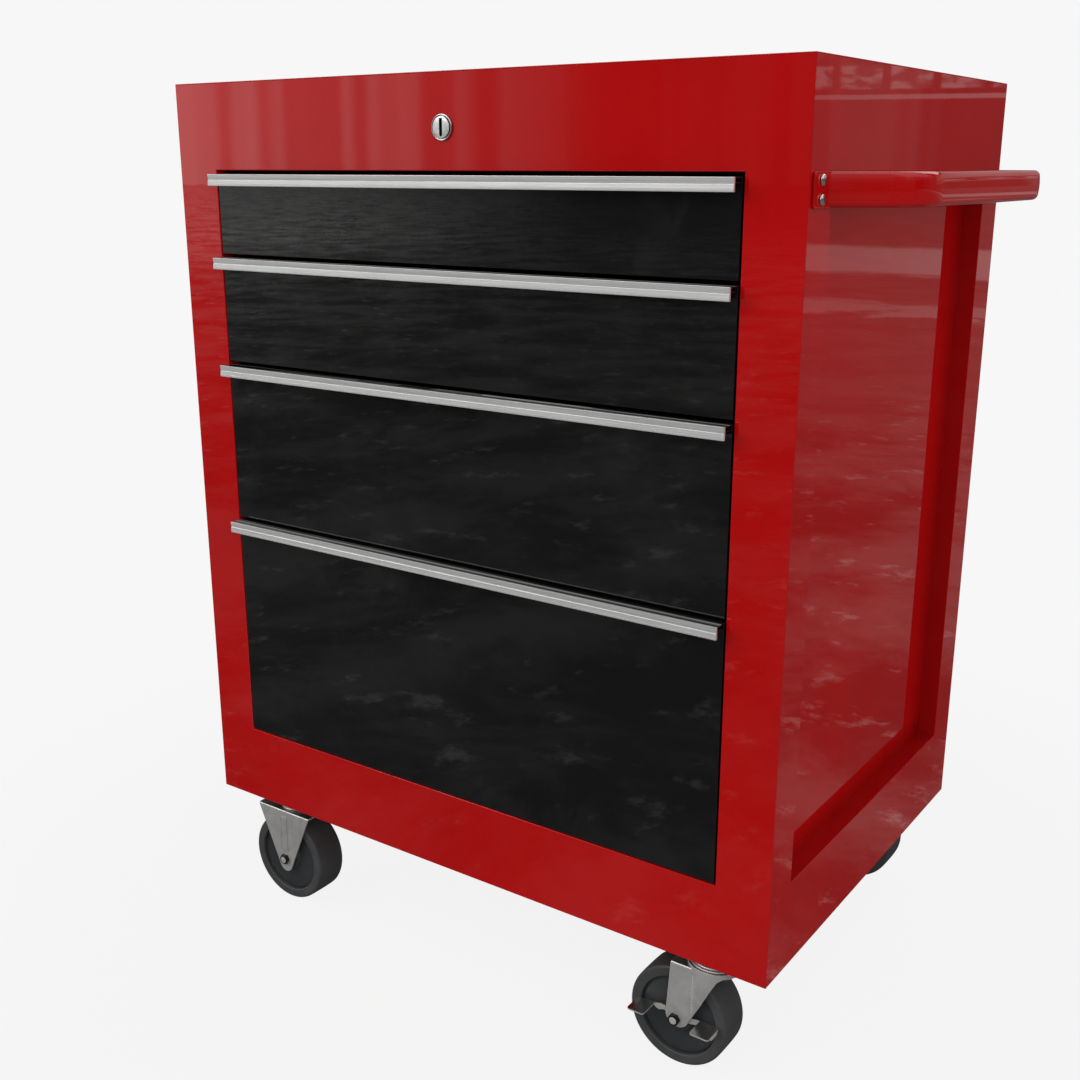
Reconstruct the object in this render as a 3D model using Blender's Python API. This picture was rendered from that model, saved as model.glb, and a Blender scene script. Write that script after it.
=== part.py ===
"""Rolling tool cabinet with four drawers, a side push handle and four casters.

The result is in metres, +Z up, front facing -Y, standing on the plane Z = 0 with the
origin at the centre of the footprint of its bounding box.
Sizes in the script are millimetres in the cabinet's own coordinates: x from the left
side, y from the front face towards the back, z from the underside of the body. The
casters hang below z = 0, and the handle is on the right side.
"""
import math

import bmesh
import bpy
from mathutils import Matrix, Vector

for old_object in list(bpy.data.objects):
    bpy.data.objects.remove(old_object, do_unlink=True)

# -------------------------------------------------------------- shared sizes (mm)
CAB_W = 680.0            # body width
CAB_D = 461.0            # body depth
CAB_H = 763.0            # body height without casters
GAP = 0.3                # clearance between separate pieces
SHEET = 1.0              # body sheet thickness
SINK = 0.4               # how far a joined part stays inside the outer face
CLEAR = 5.0              # how far a cutter runs past the face it opens
WALL_TOP = CAB_H - SHEET - GAP      # top edge of the walls, just under the top panel

RECESS_DEPTH = 18.0      # recess in the side panels
LOCK_X, LOCK_Z = CAB_W / 2, 717.0
LOCK_HOLE_R = 9.8

HANDLE_X = 745.0         # outer face of the grip
HANDLE_T = 2.0
SCREW_HOLE_R = 2.7
SCREW_PLACES = [(y, z) for y in (17.6, CAB_D - 17.6) for z in (675.2, 661.0)]

WHEEL_R = 50.0
WHEEL_Y = 25.5           # front wheel centre; the rear one is as far from the back
AXLE_Z = -68.2
# distances along y from the wheel centre
RIGID_LEG_Y = 22.5       # outer face of a rigid caster's leg
SWIVEL_LEG_Y = 22.9      # outer face of a swivel caster's leg
PEDAL_Y = 41.4           # front edge of the brake pads
AXLE_END = 4.2           # bolt head and nut, out from the leg face

# bounding box, from the left side to the grip and from brake pads to rear axle nut
BOX_X = (0.0, HANDLE_X)
BOX_Y = (WHEEL_Y - PEDAL_Y, CAB_D - WHEEL_Y + SWIVEL_LEG_Y + AXLE_END)
ORIGIN = Vector((0.5 * (BOX_X[0] + BOX_X[1]), 0.5 * (BOX_Y[0] + BOX_Y[1]), AXLE_Z - WHEEL_R))


def to_world(x, y, z):
    """Cabinet millimetres to world metres."""
    return (Vector((x, y, z)) - ORIGIN) * 0.001


# --------------------------------------------------------------------- materials
LOOKS = {
    "red": dict(color=(0.42, 0.010, 0.012), roughness=0.28, metallic=0.0, coat=0.6),
    "black": dict(color=(0.016, 0.016, 0.017), roughness=0.22, metallic=0.0, coat=0.5),
    "alu": dict(color=(0.60, 0.61, 0.62), roughness=0.34, metallic=1.0, coat=0.0),
    "zinc": dict(color=(0.50, 0.50, 0.49), roughness=0.42, metallic=1.0, coat=0.0),
    "chrome": dict(color=(0.80, 0.80, 0.80), roughness=0.12, metallic=1.0, coat=0.0),
    "dark_zinc": dict(color=(0.30, 0.30, 0.30), roughness=0.40, metallic=1.0, coat=0.0),
    "rubber": dict(color=(0.055, 0.056, 0.058), roughness=0.62, metallic=0.0, coat=0.0),
    "hub": dict(color=(0.030, 0.033, 0.036), roughness=0.50, metallic=0.0, coat=0.0),
}


def make_material(name, color, roughness, metallic, coat):
    material = bpy.data.materials.new(name)
    material.use_nodes = True
    inputs = material.node_tree.nodes["Principled BSDF"].inputs
    inputs["Base Color"].default_value = (*color, 1.0)
    inputs["Roughness"].default_value = roughness
    inputs["Metallic"].default_value = metallic
    inputs["Coat Weight"].default_value = coat
    return material


def finish(piece, look, origin=None, smooth=False):
    """Give a piece its own material and its origin, by default its box centre."""
    piece.data.name = piece.name
    piece.data.materials.clear()
    piece.data.materials.append(make_material(piece.name, **LOOKS[look]))
    if origin is None:
        points = [vertex.co for vertex in piece.data.vertices]
        low = Vector([min(point[i] for point in points) for i in range(3)])
        high = Vector([max(point[i] for point in points) for i in range(3)])
        origin = (low + high) * 0.5
    piece.data.transform(Matrix.Translation(-origin))
    piece.location = origin
    if smooth:
        piece.data.shade_smooth()
        piece.data.set_sharp_from_angle(angle=math.radians(35.0))


# ---------------------------------------------------------------------- outlines
def circle(centre_u, centre_v, radius, count):
    turns = [2 * math.pi * i / count for i in range(count)]
    return [(centre_u + radius * math.cos(turn), centre_v + radius * math.sin(turn))
            for turn in turns]


def arc(centre_u, centre_v, radius, start, end, steps):
    """Points from the start to the end angle, in degrees, both included."""
    turns = [math.radians(start + (end - start) * i / steps) for i in range(steps + 1)]
    return [(centre_u + radius * math.cos(turn), centre_v + radius * math.sin(turn))
            for turn in turns]


def place(plane, u, v, along):
    """World point at (u, v) in a plane, at a distance along the plane's normal."""
    if plane == "xz":
        return to_world(u, along, v)
    if plane == "xy":
        return to_world(u, v, along)
    return to_world(along, u, v)


# ------------------------------------------------------------------------ solids
# A solid left with the name "tool" is used up by a boolean.
def new_object(shape, name):
    bmesh.ops.remove_doubles(shape, verts=shape.verts, dist=1e-7)
    bmesh.ops.recalc_face_normals(shape, faces=shape.faces)
    mesh = bpy.data.meshes.new(name)
    shape.to_mesh(mesh)
    shape.free()
    piece = bpy.data.objects.new(name, mesh)
    bpy.context.scene.collection.objects.link(piece)
    return piece


def box(x0, x1, y0, y1, z0, z1, name="tool"):
    shape = bmesh.new()
    bmesh.ops.create_cube(shape, size=1.0)
    low, high = to_world(x0, y0, z0), to_world(x1, y1, z1)
    bmesh.ops.scale(shape, vec=high - low, verts=shape.verts)
    bmesh.ops.translate(shape, vec=(low + high) * 0.5, verts=shape.verts)
    return new_object(shape, name)


def prism(plane, outline, start, end, name="tool"):
    """Closed outline in plane 'xz', 'xy' or 'yz', extruded along the third axis."""
    shape = bmesh.new()
    face = shape.faces.new([shape.verts.new(place(plane, u, v, start)) for u, v in outline])
    extruded = bmesh.ops.extrude_face_region(shape, geom=[face])["geom"]
    far = [item for item in extruded if isinstance(item, bmesh.types.BMVert)]
    shift = place(plane, *outline[0], end) - place(plane, *outline[0], start)
    bmesh.ops.translate(shape, vec=shift, verts=far)
    return new_object(shape, name)


def cylinder(plane, u, v, radius, start, end, count):
    return prism(plane, circle(u, v, radius, count), start, end)


def loft(loops, name):
    """Skin over a row of equal loops of world points, capped at both ends."""
    shape = bmesh.new()
    rings = [[shape.verts.new(point) for point in loop] for loop in loops]
    for near, far in zip(rings, rings[1:]):
        for i in range(len(near)):
            j = (i + 1) % len(near)
            shape.faces.new((near[i], near[j], far[j], far[i]))
    shape.faces.new(rings[0])
    shape.faces.new(rings[-1])
    return new_object(shape, name)


def stepped_shaft(plane, u, v, profile, count, name):
    """Solid round piece from (radius, position along the plane's normal) stations."""
    return loft([[place(plane, *point, along) for point in circle(u, v, radius, count)]
                 for radius, along in profile], name)


def turned_ring(profile, centre, steps, name):
    """Spin a closed (radius, offset along y) outline about the y axis through centre."""
    shape = bmesh.new()
    verts = [shape.verts.new(to_world(*(Vector(centre) + Vector((radius, along, 0)))))
             for radius, along in profile]
    edges = [shape.edges.new((verts[i], verts[(i + 1) % len(verts)]))
             for i in range(len(verts))]
    bmesh.ops.spin(shape, geom=verts + edges, cent=to_world(*centre), axis=Vector((0, 1, 0)),
                   angle=2 * math.pi, steps=steps, use_merge=True, use_duplicate=False)
    bmesh.ops.remove_doubles(shape, verts=shape.verts, dist=1e-6)
    return new_object(shape, name)


def mirrored_profile(half):
    """Close a (radius, along) half profile with its reflection in along = 0."""
    return half + [(radius, -along) for radius, along in reversed(half)]


# ---------------------------------------------------------------------- booleans
def combine(target, tools, operation):
    """Apply each tool in turn with the EXACT solver, and remove it."""
    for tool in tools:
        modifier = target.modifiers.new(operation.lower(), "BOOLEAN")
        modifier.operation = operation
        modifier.solver = "EXACT"
        modifier.object = tool
        bpy.context.view_layer.update()
        depsgraph = bpy.context.evaluated_depsgraph_get()
        result = bpy.data.meshes.new_from_object(target.evaluated_get(depsgraph))
        target.modifiers.clear()
        old_mesh = target.data
        target.data = result
        bpy.data.meshes.remove(old_mesh)
        bpy.data.objects.remove(tool, do_unlink=True)
    return target


def union(target, *tools):
    return combine(target, tools, "UNION")


def cut(target, *tools):
    return combine(target, tools, "DIFFERENCE")


def tray(outer, inner, name="tool"):
    """Box hollowed by a second box, which may run out through its open sides."""
    return cut(box(*outer, name=name), box(*inner))


def mirrored_range(x0, x1):
    """The same x range on the other side of the cabinet."""
    return CAB_W - x1, CAB_W - x0


def footprint(inset_x, inset_y):
    """x and y range of the body, drawn in from its edges."""
    return inset_x, CAB_W - inset_x, inset_y, CAB_D - inset_y


# ------------------------------------------------------------------ cabinet body
FRAME_T = 1.2                       # front frame sheet thickness
FRAME_RETURN = 14.0                 # folded return around the drawer opening
RETURN_Y0 = 0.5                     # the return starts inside the frame sheet
OPEN_X0, OPEN_Z0, OPEN_Z1 = 52.0, 82.8, 681.0
OPEN_X1 = CAB_W - OPEN_X0

RECESS_Y0, RECESS_Y1 = 42.0, 416.0
RECESS_Z0, RECESS_Z1 = 83.5, 668.0
FOLD_W = 24.0                       # folded front and back edges of the side panels
FOLD_END = 15.0                     # folds stop this far from the panel's ends
FOLD_INSET = 0.05                   # folds sit this far in from the panel's edges

RIM_H = 14.0                        # height of the rims of top panel and bottom pan
CUTTER_RIM = 20.0                   # cutter height that clears a rim
TOP_RIM_X, TOP_RIM_Y = 2.0, 3.2     # inset of the top panel's rim
PAN_X, PAN_Y = 1.3, 2.9             # inset of the bottom pan
PAN_T = 1.2


def build_front_frame():
    frame = box(0, CAB_W, 0, FRAME_T, 0, WALL_TOP, name="front_frame")
    union(frame, box(OPEN_X0 - FRAME_T, OPEN_X1 + FRAME_T, RETURN_Y0, FRAME_RETURN,
                     OPEN_Z0 - FRAME_T, OPEN_Z1 + FRAME_T))
    cut(frame,
        box(OPEN_X0, OPEN_X1, -CLEAR, FRAME_RETURN + CLEAR, OPEN_Z0, OPEN_Z1),
        cylinder("xz", LOCK_X, LOCK_Z, LOCK_HOLE_R, -5, 10, 32))
    finish(frame, "red")


def build_side_panel(side):
    """Pressed side panel: flat border, deep recess, folded front and back edges."""
    def side_box(x0, x1, *rest, name="tool"):
        x_range = (x0, x1) if side == "right" else mirrored_range(x0, x1)
        return box(*x_range, *rest, name=name)

    y0, y1 = FRAME_T + GAP, CAB_D - SHEET - GAP
    recess_x = CAB_W - RECESS_DEPTH
    fold_x = (CAB_W - FOLD_W, CAB_W - SINK)
    fold_z = (FOLD_END, WALL_TOP - FOLD_END)
    panel = side_box(CAB_W - SHEET, CAB_W, y0, y1, 0, WALL_TOP, name=side + "_side_panel")
    union(panel,
          side_box(recess_x - SHEET, CAB_W - SINK, RECESS_Y0 - SHEET, RECESS_Y1 + SHEET,
                   RECESS_Z0 - SHEET, RECESS_Z1 + SHEET),
          side_box(*fold_x, y0 + FOLD_INSET, y0 + FOLD_INSET + SHEET, *fold_z),
          side_box(*fold_x, y1 - FOLD_INSET - SHEET, y1 - FOLD_INSET, *fold_z))
    cut(panel, side_box(recess_x, CAB_W + CLEAR, RECESS_Y0, RECESS_Y1, RECESS_Z0, RECESS_Z1))
    if side == "right":
        for y, z in SCREW_PLACES:
            cut(panel, cylinder("yz", y, z, SCREW_HOLE_R, CAB_W - CLEAR, CAB_W + CLEAR, 16))
    finish(panel, "red")


def build_back_panel():
    finish(box(0, CAB_W, CAB_D - SHEET, CAB_D, 0, WALL_TOP, name="back_panel"), "red")


def build_top_panel():
    """Flat sheet with a rim hanging below it."""
    top = tray((*footprint(TOP_RIM_X, TOP_RIM_Y), CAB_H - RIM_H, CAB_H - SINK),
               (*footprint(TOP_RIM_X + SHEET, TOP_RIM_Y + SHEET),
                CAB_H - CUTTER_RIM, CAB_H - SHEET), "top_panel")
    union(top, box(*footprint(0, 0), CAB_H - SHEET, CAB_H))
    finish(top, "red")


def build_bottom_pan():
    pan = tray((*footprint(PAN_X, PAN_Y), 0, RIM_H),
               (*footprint(PAN_X + PAN_T, PAN_Y + PAN_T), PAN_T, CUTTER_RIM), "bottom_pan")
    finish(pan, "red")


# ------------------------------------------------------------------- push handle
HANDLE_Z0, HANDLE_Z1 = 655.0, 681.4
HANDLE_FOOT = 28.6       # where the arm leaves the side panel, from front and back
HANDLE_RUN = 42.0        # how far each arm runs along y while reaching out
BEND_R = 55.0
BEND_STEPS = 8
ARM_OVERRUN = 6.0        # arms start this far inside the panel, then are trimmed
HANDLE_LIP = 14.0        # depth of the channel section
SECTION_R = 4.0          # outer corner radius of the section
FOOT_Y0, FOOT_Y1 = 4.9, 39.0        # mounting foot, mirrored at the rear
FOOT_INSET = 0.05                   # foot edges sit inside the section's height
HANDLE_BASE_X = CAB_W + GAP

SCREW_SEAT = HANDLE_BASE_X + HANDLE_T + GAP
# radius, x
SCREW_PROFILE = [(2.3, CAB_W - 9.0), (2.3, SCREW_SEAT), (4.4, SCREW_SEAT),
                 (4.3, SCREW_SEAT + 0.9), (3.4, SCREW_SEAT + 1.9), (1.6, SCREW_SEAT + 2.4)]
SLOT_FLOOR = 1.3         # bottom of the screw slot above the seat
SLOT_HALF_W = 0.5
SLOT_HALF_L = 6.0


def handle_path():
    """Outer face line of the handle in plan, as (point, outward normal) pairs."""
    arm = Vector((HANDLE_X - CAB_W, HANDLE_RUN)).normalized()
    overrun = ARM_OVERRUN / arm.x
    front_corner = Vector((HANDLE_X, HANDLE_FOOT + HANDLE_RUN))
    rear_corner = Vector((HANDLE_X, CAB_D - HANDLE_FOOT - HANDLE_RUN))
    front_end = Vector((CAB_W, HANDLE_FOOT)) - arm * overrun
    rear_end = Vector((CAB_W, CAB_D - HANDLE_FOOT)) - Vector((arm.x, -arm.y)) * overrun
    front_normal = Vector((arm.y, -arm.x))
    grip_normal = Vector((1, 0))
    rear_normal = Vector((arm.y, arm.x))
    half_bend = 0.5 * math.acos(arm.y)

    path = [(front_end, front_normal)]
    for corner, before, after in ((front_corner, front_normal, grip_normal),
                                  (rear_corner, grip_normal, rear_normal)):
        bisector = (before + after).normalized()
        centre = corner - bisector * (BEND_R / math.cos(half_bend))
        for i in range(BEND_STEPS + 1):
            part = i / BEND_STEPS
            angle = (math.atan2(before.y, before.x) * (1 - part)
                     + math.atan2(after.y, after.x) * part)
            normal = Vector((math.cos(angle), math.sin(angle)))
            path.append((centre + normal * BEND_R, normal))
    path.append((rear_end, rear_normal))
    return path


def handle_section():
    """C-section open to the inside, as (depth behind the outer face, z)."""
    upper, lower = HANDLE_Z1 - SECTION_R, HANDLE_Z0 + SECTION_R
    inner_r = SECTION_R - HANDLE_T
    return ([(HANDLE_LIP, HANDLE_Z1)]
            + arc(SECTION_R, upper, SECTION_R, 90, 180, 3)
            + arc(SECTION_R, lower, SECTION_R, 180, 270, 3)
            + [(HANDLE_LIP, HANDLE_Z0), (HANDLE_LIP, HANDLE_Z0 + HANDLE_T)]
            + arc(SECTION_R, lower, inner_r, 270, 180, 2)
            + arc(SECTION_R, upper, inner_r, 180, 90, 2)
            + [(HANDLE_LIP, HANDLE_Z1 - HANDLE_T)])


def build_handle():
    section = handle_section()
    handle = loft([[to_world(point.x - normal.x * depth, point.y - normal.y * depth, z)
                    for depth, z in section] for point, normal in handle_path()],
                  "side_handle")
    # trim the arm ends flush with the feet
    cut(handle, box(CAB_W - 60, HANDLE_BASE_X, -40, CAB_D + 40, HANDLE_Z0 - 10, HANDLE_Z1 + 10))
    for y0, y1 in ((FOOT_Y0, FOOT_Y1), (CAB_D - FOOT_Y1, CAB_D - FOOT_Y0)):
        union(handle, box(HANDLE_BASE_X, HANDLE_BASE_X + HANDLE_T, y0, y1,
                          HANDLE_Z0 + FOOT_INSET, HANDLE_Z1 - FOOT_INSET))
    for y, z in SCREW_PLACES:
        cut(handle, cylinder("yz", y, z, SCREW_HOLE_R, CAB_W - 5, CAB_W + 8, 16))
    finish(handle, "red")


def build_handle_screws():
    for number, (y, z) in enumerate(SCREW_PLACES, 1):
        screw = stepped_shaft("yz", y, z, SCREW_PROFILE, 16, "handle_screw_%d" % number)
        cut(screw, box(SCREW_SEAT + SLOT_FLOOR, SCREW_SEAT + CLEAR,
                       y - SLOT_HALF_W, y + SLOT_HALF_W, z - SLOT_HALF_L, z + SLOT_HALF_L))
        finish(screw, "chrome", smooth=True)


# -------------------------------------------------------------------------- lock
LOCK_SEGMENTS = 28
# radius, y
LOCK_BODY_PROFILE = [(8.3, 20.0), (9.4, 20.0), (9.4, -GAP), (11.1, -GAP), (11.1, -1.6),
                     (10.6, -2.2), (9.9, -2.2), (9.9, -0.9), (8.3, -0.9)]
LOCK_PLUG_PROFILE = [(4.0, 24.6), (4.0, 20.6), (7.9, 20.6), (7.9, -1.2), (9.5, -1.2),
                     (9.5, -2.7), (9.2, -3.0)]
KEYWAY_HALF_W, KEYWAY_HALF_H, KEYWAY_BACK = 1.6, 7.4, 12.0
LOCK_NUT_R, LOCK_NUT_BACK = 14.5, 6.5
CAM_R, CAM_TIP_R, CAM_REACH = 9.0, 5.0, 22.0    # the cam points to the left
CAM_HOLE_R = 4.4
CAM_Y = (21.0, 23.0)
LOCK_BAR = (60.0, 620.0, 25.4, 27.4, 691.0, 703.0)


def build_lock():
    body = turned_ring(LOCK_BODY_PROFILE, (LOCK_X, 0.0, LOCK_Z), LOCK_SEGMENTS, "lock_body")
    finish(body, "chrome", smooth=True)

    pivot = to_world(LOCK_X, 0, LOCK_Z)
    plug = stepped_shaft("xz", LOCK_X, LOCK_Z, LOCK_PLUG_PROFILE, LOCK_SEGMENTS, "lock_plug")
    cut(plug, box(LOCK_X - KEYWAY_HALF_W, LOCK_X + KEYWAY_HALF_W, -8, KEYWAY_BACK,
                  LOCK_Z - KEYWAY_HALF_H, LOCK_Z + KEYWAY_HALF_H))
    finish(plug, "chrome", origin=pivot, smooth=True)

    nut = prism("xz", circle(LOCK_X, LOCK_Z, LOCK_NUT_R, 6), FRAME_T + GAP, LOCK_NUT_BACK,
                "lock_nut")
    cut(nut, cylinder("xz", LOCK_X, LOCK_Z, LOCK_HOLE_R, 0, 10, 32))
    finish(nut, "dark_zinc")

    outline = (arc(LOCK_X, LOCK_Z, CAM_R, -90, 90, 10)
               + arc(LOCK_X - CAM_REACH, LOCK_Z, CAM_TIP_R, 90, 270, 8))
    cam = prism("xz", outline, *CAM_Y, "lock_cam")
    cut(cam, cylinder("xz", LOCK_X, LOCK_Z, CAM_HOLE_R, 15, 30, 24))
    finish(cam, "zinc", origin=pivot)

    finish(box(*LOCK_BAR, name="lock_bar"), "zinc")


# ----------------------------------------------------------------------- drawers
# lower and upper edge of each front, from the top drawer down
DRAWERS = ((600.8, 677.5), (493.5, 597.3), (328.3, 490.0), (84.6, 324.8))
DRAWER_X0 = 53.8
DRAWER_X1 = CAB_W - DRAWER_X0
DRAWER_RETURN = 12.0                # folded depth of the drawer front
TRAY_X0 = 66.0
TRAY_X1 = CAB_W - TRAY_X0
TRAY_BACK = 430.0
TRAY_LIFT = 5.0                     # tray floor above the front's lower edge
TRAY_DROP = 13.0                    # tray walls below the front's upper edge
PULL_DEPTH = 14.0
PULL_HEIGHT = 11.0
PULL_T = 2.3                        # thickness of the aluminium strip
LEDGE_H = 4.8                       # height of the folded ledge behind it
LEDGE_END = 0.3                     # ledge ends inside the front's ends
LEDGE_BACK = 0.6                    # ledge runs this far into the front

RAIL_ABOVE_FLOOR = 34.0             # slide centre above the drawer's lower edge
RAIL_T = 1.2
RAIL_Y0, RAIL_Y1 = 16.0, 424.0
# x ranges of the right-hand rails
DRAWER_RAIL_X = (TRAY_X1 + GAP, 627.0)
CABINET_RAIL_X = (618.0, CAB_W - RECESS_DEPTH - SHEET - GAP)
DRAWER_RAIL_HALF_H, CABINET_RAIL_HALF_H = 14.0, 16.7
CABINET_RAIL_EXTRA = 4.0            # cabinet rails run this much further back


def build_pull(number, drawer_top):
    """Strip in front of the ledge: dished upper half, a fine groove above and below."""
    front, back = -PULL_DEPTH, -PULL_DEPTH + PULL_T
    top = drawer_top - 0.1
    bottom = top - PULL_HEIGHT
    # y, z
    outline = [(back, bottom), (back, top), (front + 0.2, top), (front + 0.2, top - 0.7),
               (front + 0.75, top - 1.3), (front + 0.75, top - 4.4),
               (front, top - 5.4), (front, top - 5.7), (front + 0.5, top - 5.9),
               (front, top - 6.1), (front, bottom + 2.0), (front + 0.5, bottom + 1.8),
               (front, bottom + 1.6), (front, bottom)]
    finish(prism("yz", outline, DRAWER_X0, DRAWER_X1, "drawer_%d_pull" % number), "alu")


def build_drawer_box(number, bottom, top):
    """Folded front, open-fronted tray behind it and a ledge along the top edge."""
    drawer = tray((DRAWER_X0, DRAWER_X1, 0, DRAWER_RETURN, bottom, top),
                  (DRAWER_X0 + SHEET, DRAWER_X1 - SHEET, SHEET, 50,
                   bottom + SHEET, top - SHEET), "drawer_%d_box" % number)
    floor = bottom + TRAY_LIFT
    body = tray((TRAY_X0, TRAY_X1, SINK, TRAY_BACK, floor, top - TRAY_DROP),
                (TRAY_X0 + SHEET, TRAY_X1 - SHEET, -CLEAR, TRAY_BACK - SHEET,
                 floor + SHEET, top + CLEAR))
    # the sheet is folded forward into a hemmed ledge that carries the strip
    ledge_front = -PULL_DEPTH + PULL_T + GAP
    ledge_z0, ledge_z1 = top - LEDGE_H, top - 0.15
    ledge = tray((DRAWER_X0 + LEDGE_END, DRAWER_X1 - LEDGE_END, ledge_front, LEDGE_BACK,
                  ledge_z0, ledge_z1),
                 (DRAWER_X0 - CLEAR, DRAWER_X1 + CLEAR, ledge_front + SHEET, -1.0,
                  ledge_z0 + SHEET, ledge_z1 - SHEET))
    union(drawer, body, ledge)
    finish(drawer, "black")


def build_rail(name, x0, x1, z, half_height, opens_right, y1):
    """C-section slide rail, open to one side."""
    inner_x = (x0 + RAIL_T, x1 + CLEAR) if opens_right else (x0 - CLEAR, x1 - RAIL_T)
    rail = tray((x0, x1, RAIL_Y0, y1, z - half_height, z + half_height),
                (*inner_x, RAIL_Y0 - CLEAR, y1 + CLEAR,
                 z - half_height + RAIL_T, z + half_height - RAIL_T), name)
    finish(rail, "zinc")


def build_drawer(number, bottom, top):
    build_drawer_box(number, bottom, top)
    build_pull(number, top)
    z = bottom + RAIL_ABOVE_FLOOR
    for side, opens_out in (("right", True), ("left", False)):
        drawer_x, cabinet_x = DRAWER_RAIL_X, CABINET_RAIL_X
        if side == "left":
            drawer_x, cabinet_x = mirrored_range(*drawer_x), mirrored_range(*cabinet_x)
        build_rail("drawer_%d_rail_%s" % (number, side), *drawer_x, z,
                   DRAWER_RAIL_HALF_H, opens_out, RAIL_Y1)
        build_rail("cabinet_rail_%d_%s" % (number, side), *cabinet_x, z,
                   CABINET_RAIL_HALF_H, not opens_out, RAIL_Y1 + CABINET_RAIL_EXTRA)


# ----------------------------------------------------------------------- casters
RIGID_X = 88.8
SWIVEL_X = CAB_W - RIGID_X
KING_X = 620.0                      # swivel axis
PLATE_HALF_W, PLATE_HALF_D = 48.0, 20.5
LEG_T = 2.2

TYRE_HALF_W = 18.6
TYRE_BORE_R = 39.0
TREAD_EDGE_R = WHEEL_R - 0.3        # the tread is slightly crowned
SHOULDER_R = 3.1
# radius, offset along y from the wheel centre; one half of the hub
HUB_PROFILE = [(TYRE_BORE_R - GAP, 15.2), (37.2, 15.2), (35.5, 13.6), (14.0, 13.6),
               (12.0, 18.2), (5.6, 18.2)]

AXLE_R = 4.6
AXLE_HOLE_R = AXLE_R + 0.4
AXLE_SHANK_END = 2.0                # shank, out from the leg face
HEX_R = 6.2                         # bolt head and nut, to the corners

RIGID_LEG_TOP_HALF_W, RIGID_LEG_TOP_Z = 38.4, -8.3
RIGID_TIP_Z, RIGID_TIP_R = -74.6, 8.9
RIB_HALF_W = 4.4
RIB_Y = (22.1, 23.3)                # offsets from the wheel centre
RIB_Z = (-58.0, -15.0)

# x, z down the right edge of the swivel leg and round its tip
SWIVEL_LEG = ([(585.2, -9.6), (634.0, -9.6), (632.1, -14.4), (626.0, -26.3),
               (614.7, -48.4), (608.6, -60.0)]
              + arc(593.4, -63.7, 12.0, -10, -180, 10))

BRAKE_EYE_R = 9.0                   # rounded middle of the lever, around the axle
# x, z of the lever's edge, broken by the arcs below and above the axle
BRAKE_LEVER = ([(551.0, -63.2), (551.0, -68.6), (572.0, -68.6)]
               + arc(SWIVEL_X, AXLE_Z, BRAKE_EYE_R, 200, 340, 8)
               + [(611.0, -69.2), (634.6, -68.6), (634.6, -63.2), (614.0, -61.4)]
               + arc(SWIVEL_X, AXLE_Z, BRAKE_EYE_R, 40, 140, 6)
               + [(578.0, -61.3), (568.5, -61.6)])
BRAKE_LEVER_Y = (-20.4, -18.9)      # offsets from the wheel centre
PAD_BACK_Y = -19.3
PAD_RANGES_X = ((550.5, 568.0), (615.6, 635.0))
PAD_Z = (-63.6, -62.0)


def front_and_back(centre_y, near, far):
    """y ranges lying near to far from the centre, in front of it and behind it."""
    return (centre_y - far, centre_y - near), (centre_y + near, centre_y + far)


def leg_pair(outline, centre_y, outer):
    return [prism("xz", outline, *y_range)
            for y_range in front_and_back(centre_y, outer - LEG_T, outer)]


def axle_drill(x, centre_y):
    return cylinder("xz", x, AXLE_Z, AXLE_HOLE_R, centre_y - 30.5, centre_y + 30.5, 24)


def build_wheel(tag, x, centre_y):
    centre = (x, centre_y, AXLE_Z)
    half = ([(TYRE_BORE_R, TYRE_HALF_W)]
            + arc(TREAD_EDGE_R - SHOULDER_R, TYRE_HALF_W - SHOULDER_R, SHOULDER_R, 90, 0, 2))
    profile = mirrored_profile(half)
    profile.insert(len(half), (WHEEL_R, 0.0))
    tyre = turned_ring(profile, centre, 36, tag + "_tyre")
    finish(tyre, "rubber", origin=to_world(*centre), smooth=True)
    hub = turned_ring(mirrored_profile(HUB_PROFILE), centre, 24, tag + "_hub")
    finish(hub, "hub", origin=to_world(*centre), smooth=True)


def build_axle(tag, x, centre_y, leg_y):
    """Bolt through both legs: hexagon head in front, nut behind, shank between."""
    end = leg_y + AXLE_SHANK_END
    axle = prism("xz", circle(x, AXLE_Z, AXLE_R, 24), centre_y - end, centre_y + end,
                 tag + "_axle")
    union(axle, *[cylinder("xz", x, AXLE_Z, HEX_R, *y_range, 6)
                  for y_range in front_and_back(centre_y, leg_y + GAP, leg_y + AXLE_END)])
    finish(axle, "chrome")


def rigid_leg_outline():
    """Flat top edge and two straight edges tangent to a round tip, in x and z."""
    left = RIGID_X - RIGID_LEG_TOP_HALF_W
    right = RIGID_X + RIGID_LEG_TOP_HALF_W

    def tangent_angle(corner_x, side):
        across, up = corner_x - RIGID_X, RIGID_LEG_TOP_Z - RIGID_TIP_Z
        return math.atan2(up, across) + side * math.acos(RIGID_TIP_R / math.hypot(across, up))

    start = math.degrees(tangent_angle(left, 1.0))
    end = math.degrees(tangent_angle(right, -1.0)) + 360.0
    return ([(right, RIGID_LEG_TOP_Z), (left, RIGID_LEG_TOP_Z)]
            + arc(RIGID_X, RIGID_TIP_Z, RIGID_TIP_R, start, end, 10))


def plate(centre_x, centre_y, bottom, name):
    """Mounting plate just below the body."""
    return box(centre_x - PLATE_HALF_W, centre_x + PLATE_HALF_W,
               centre_y - PLATE_HALF_D, centre_y + PLATE_HALF_D, bottom, -GAP, name=name)


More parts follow.
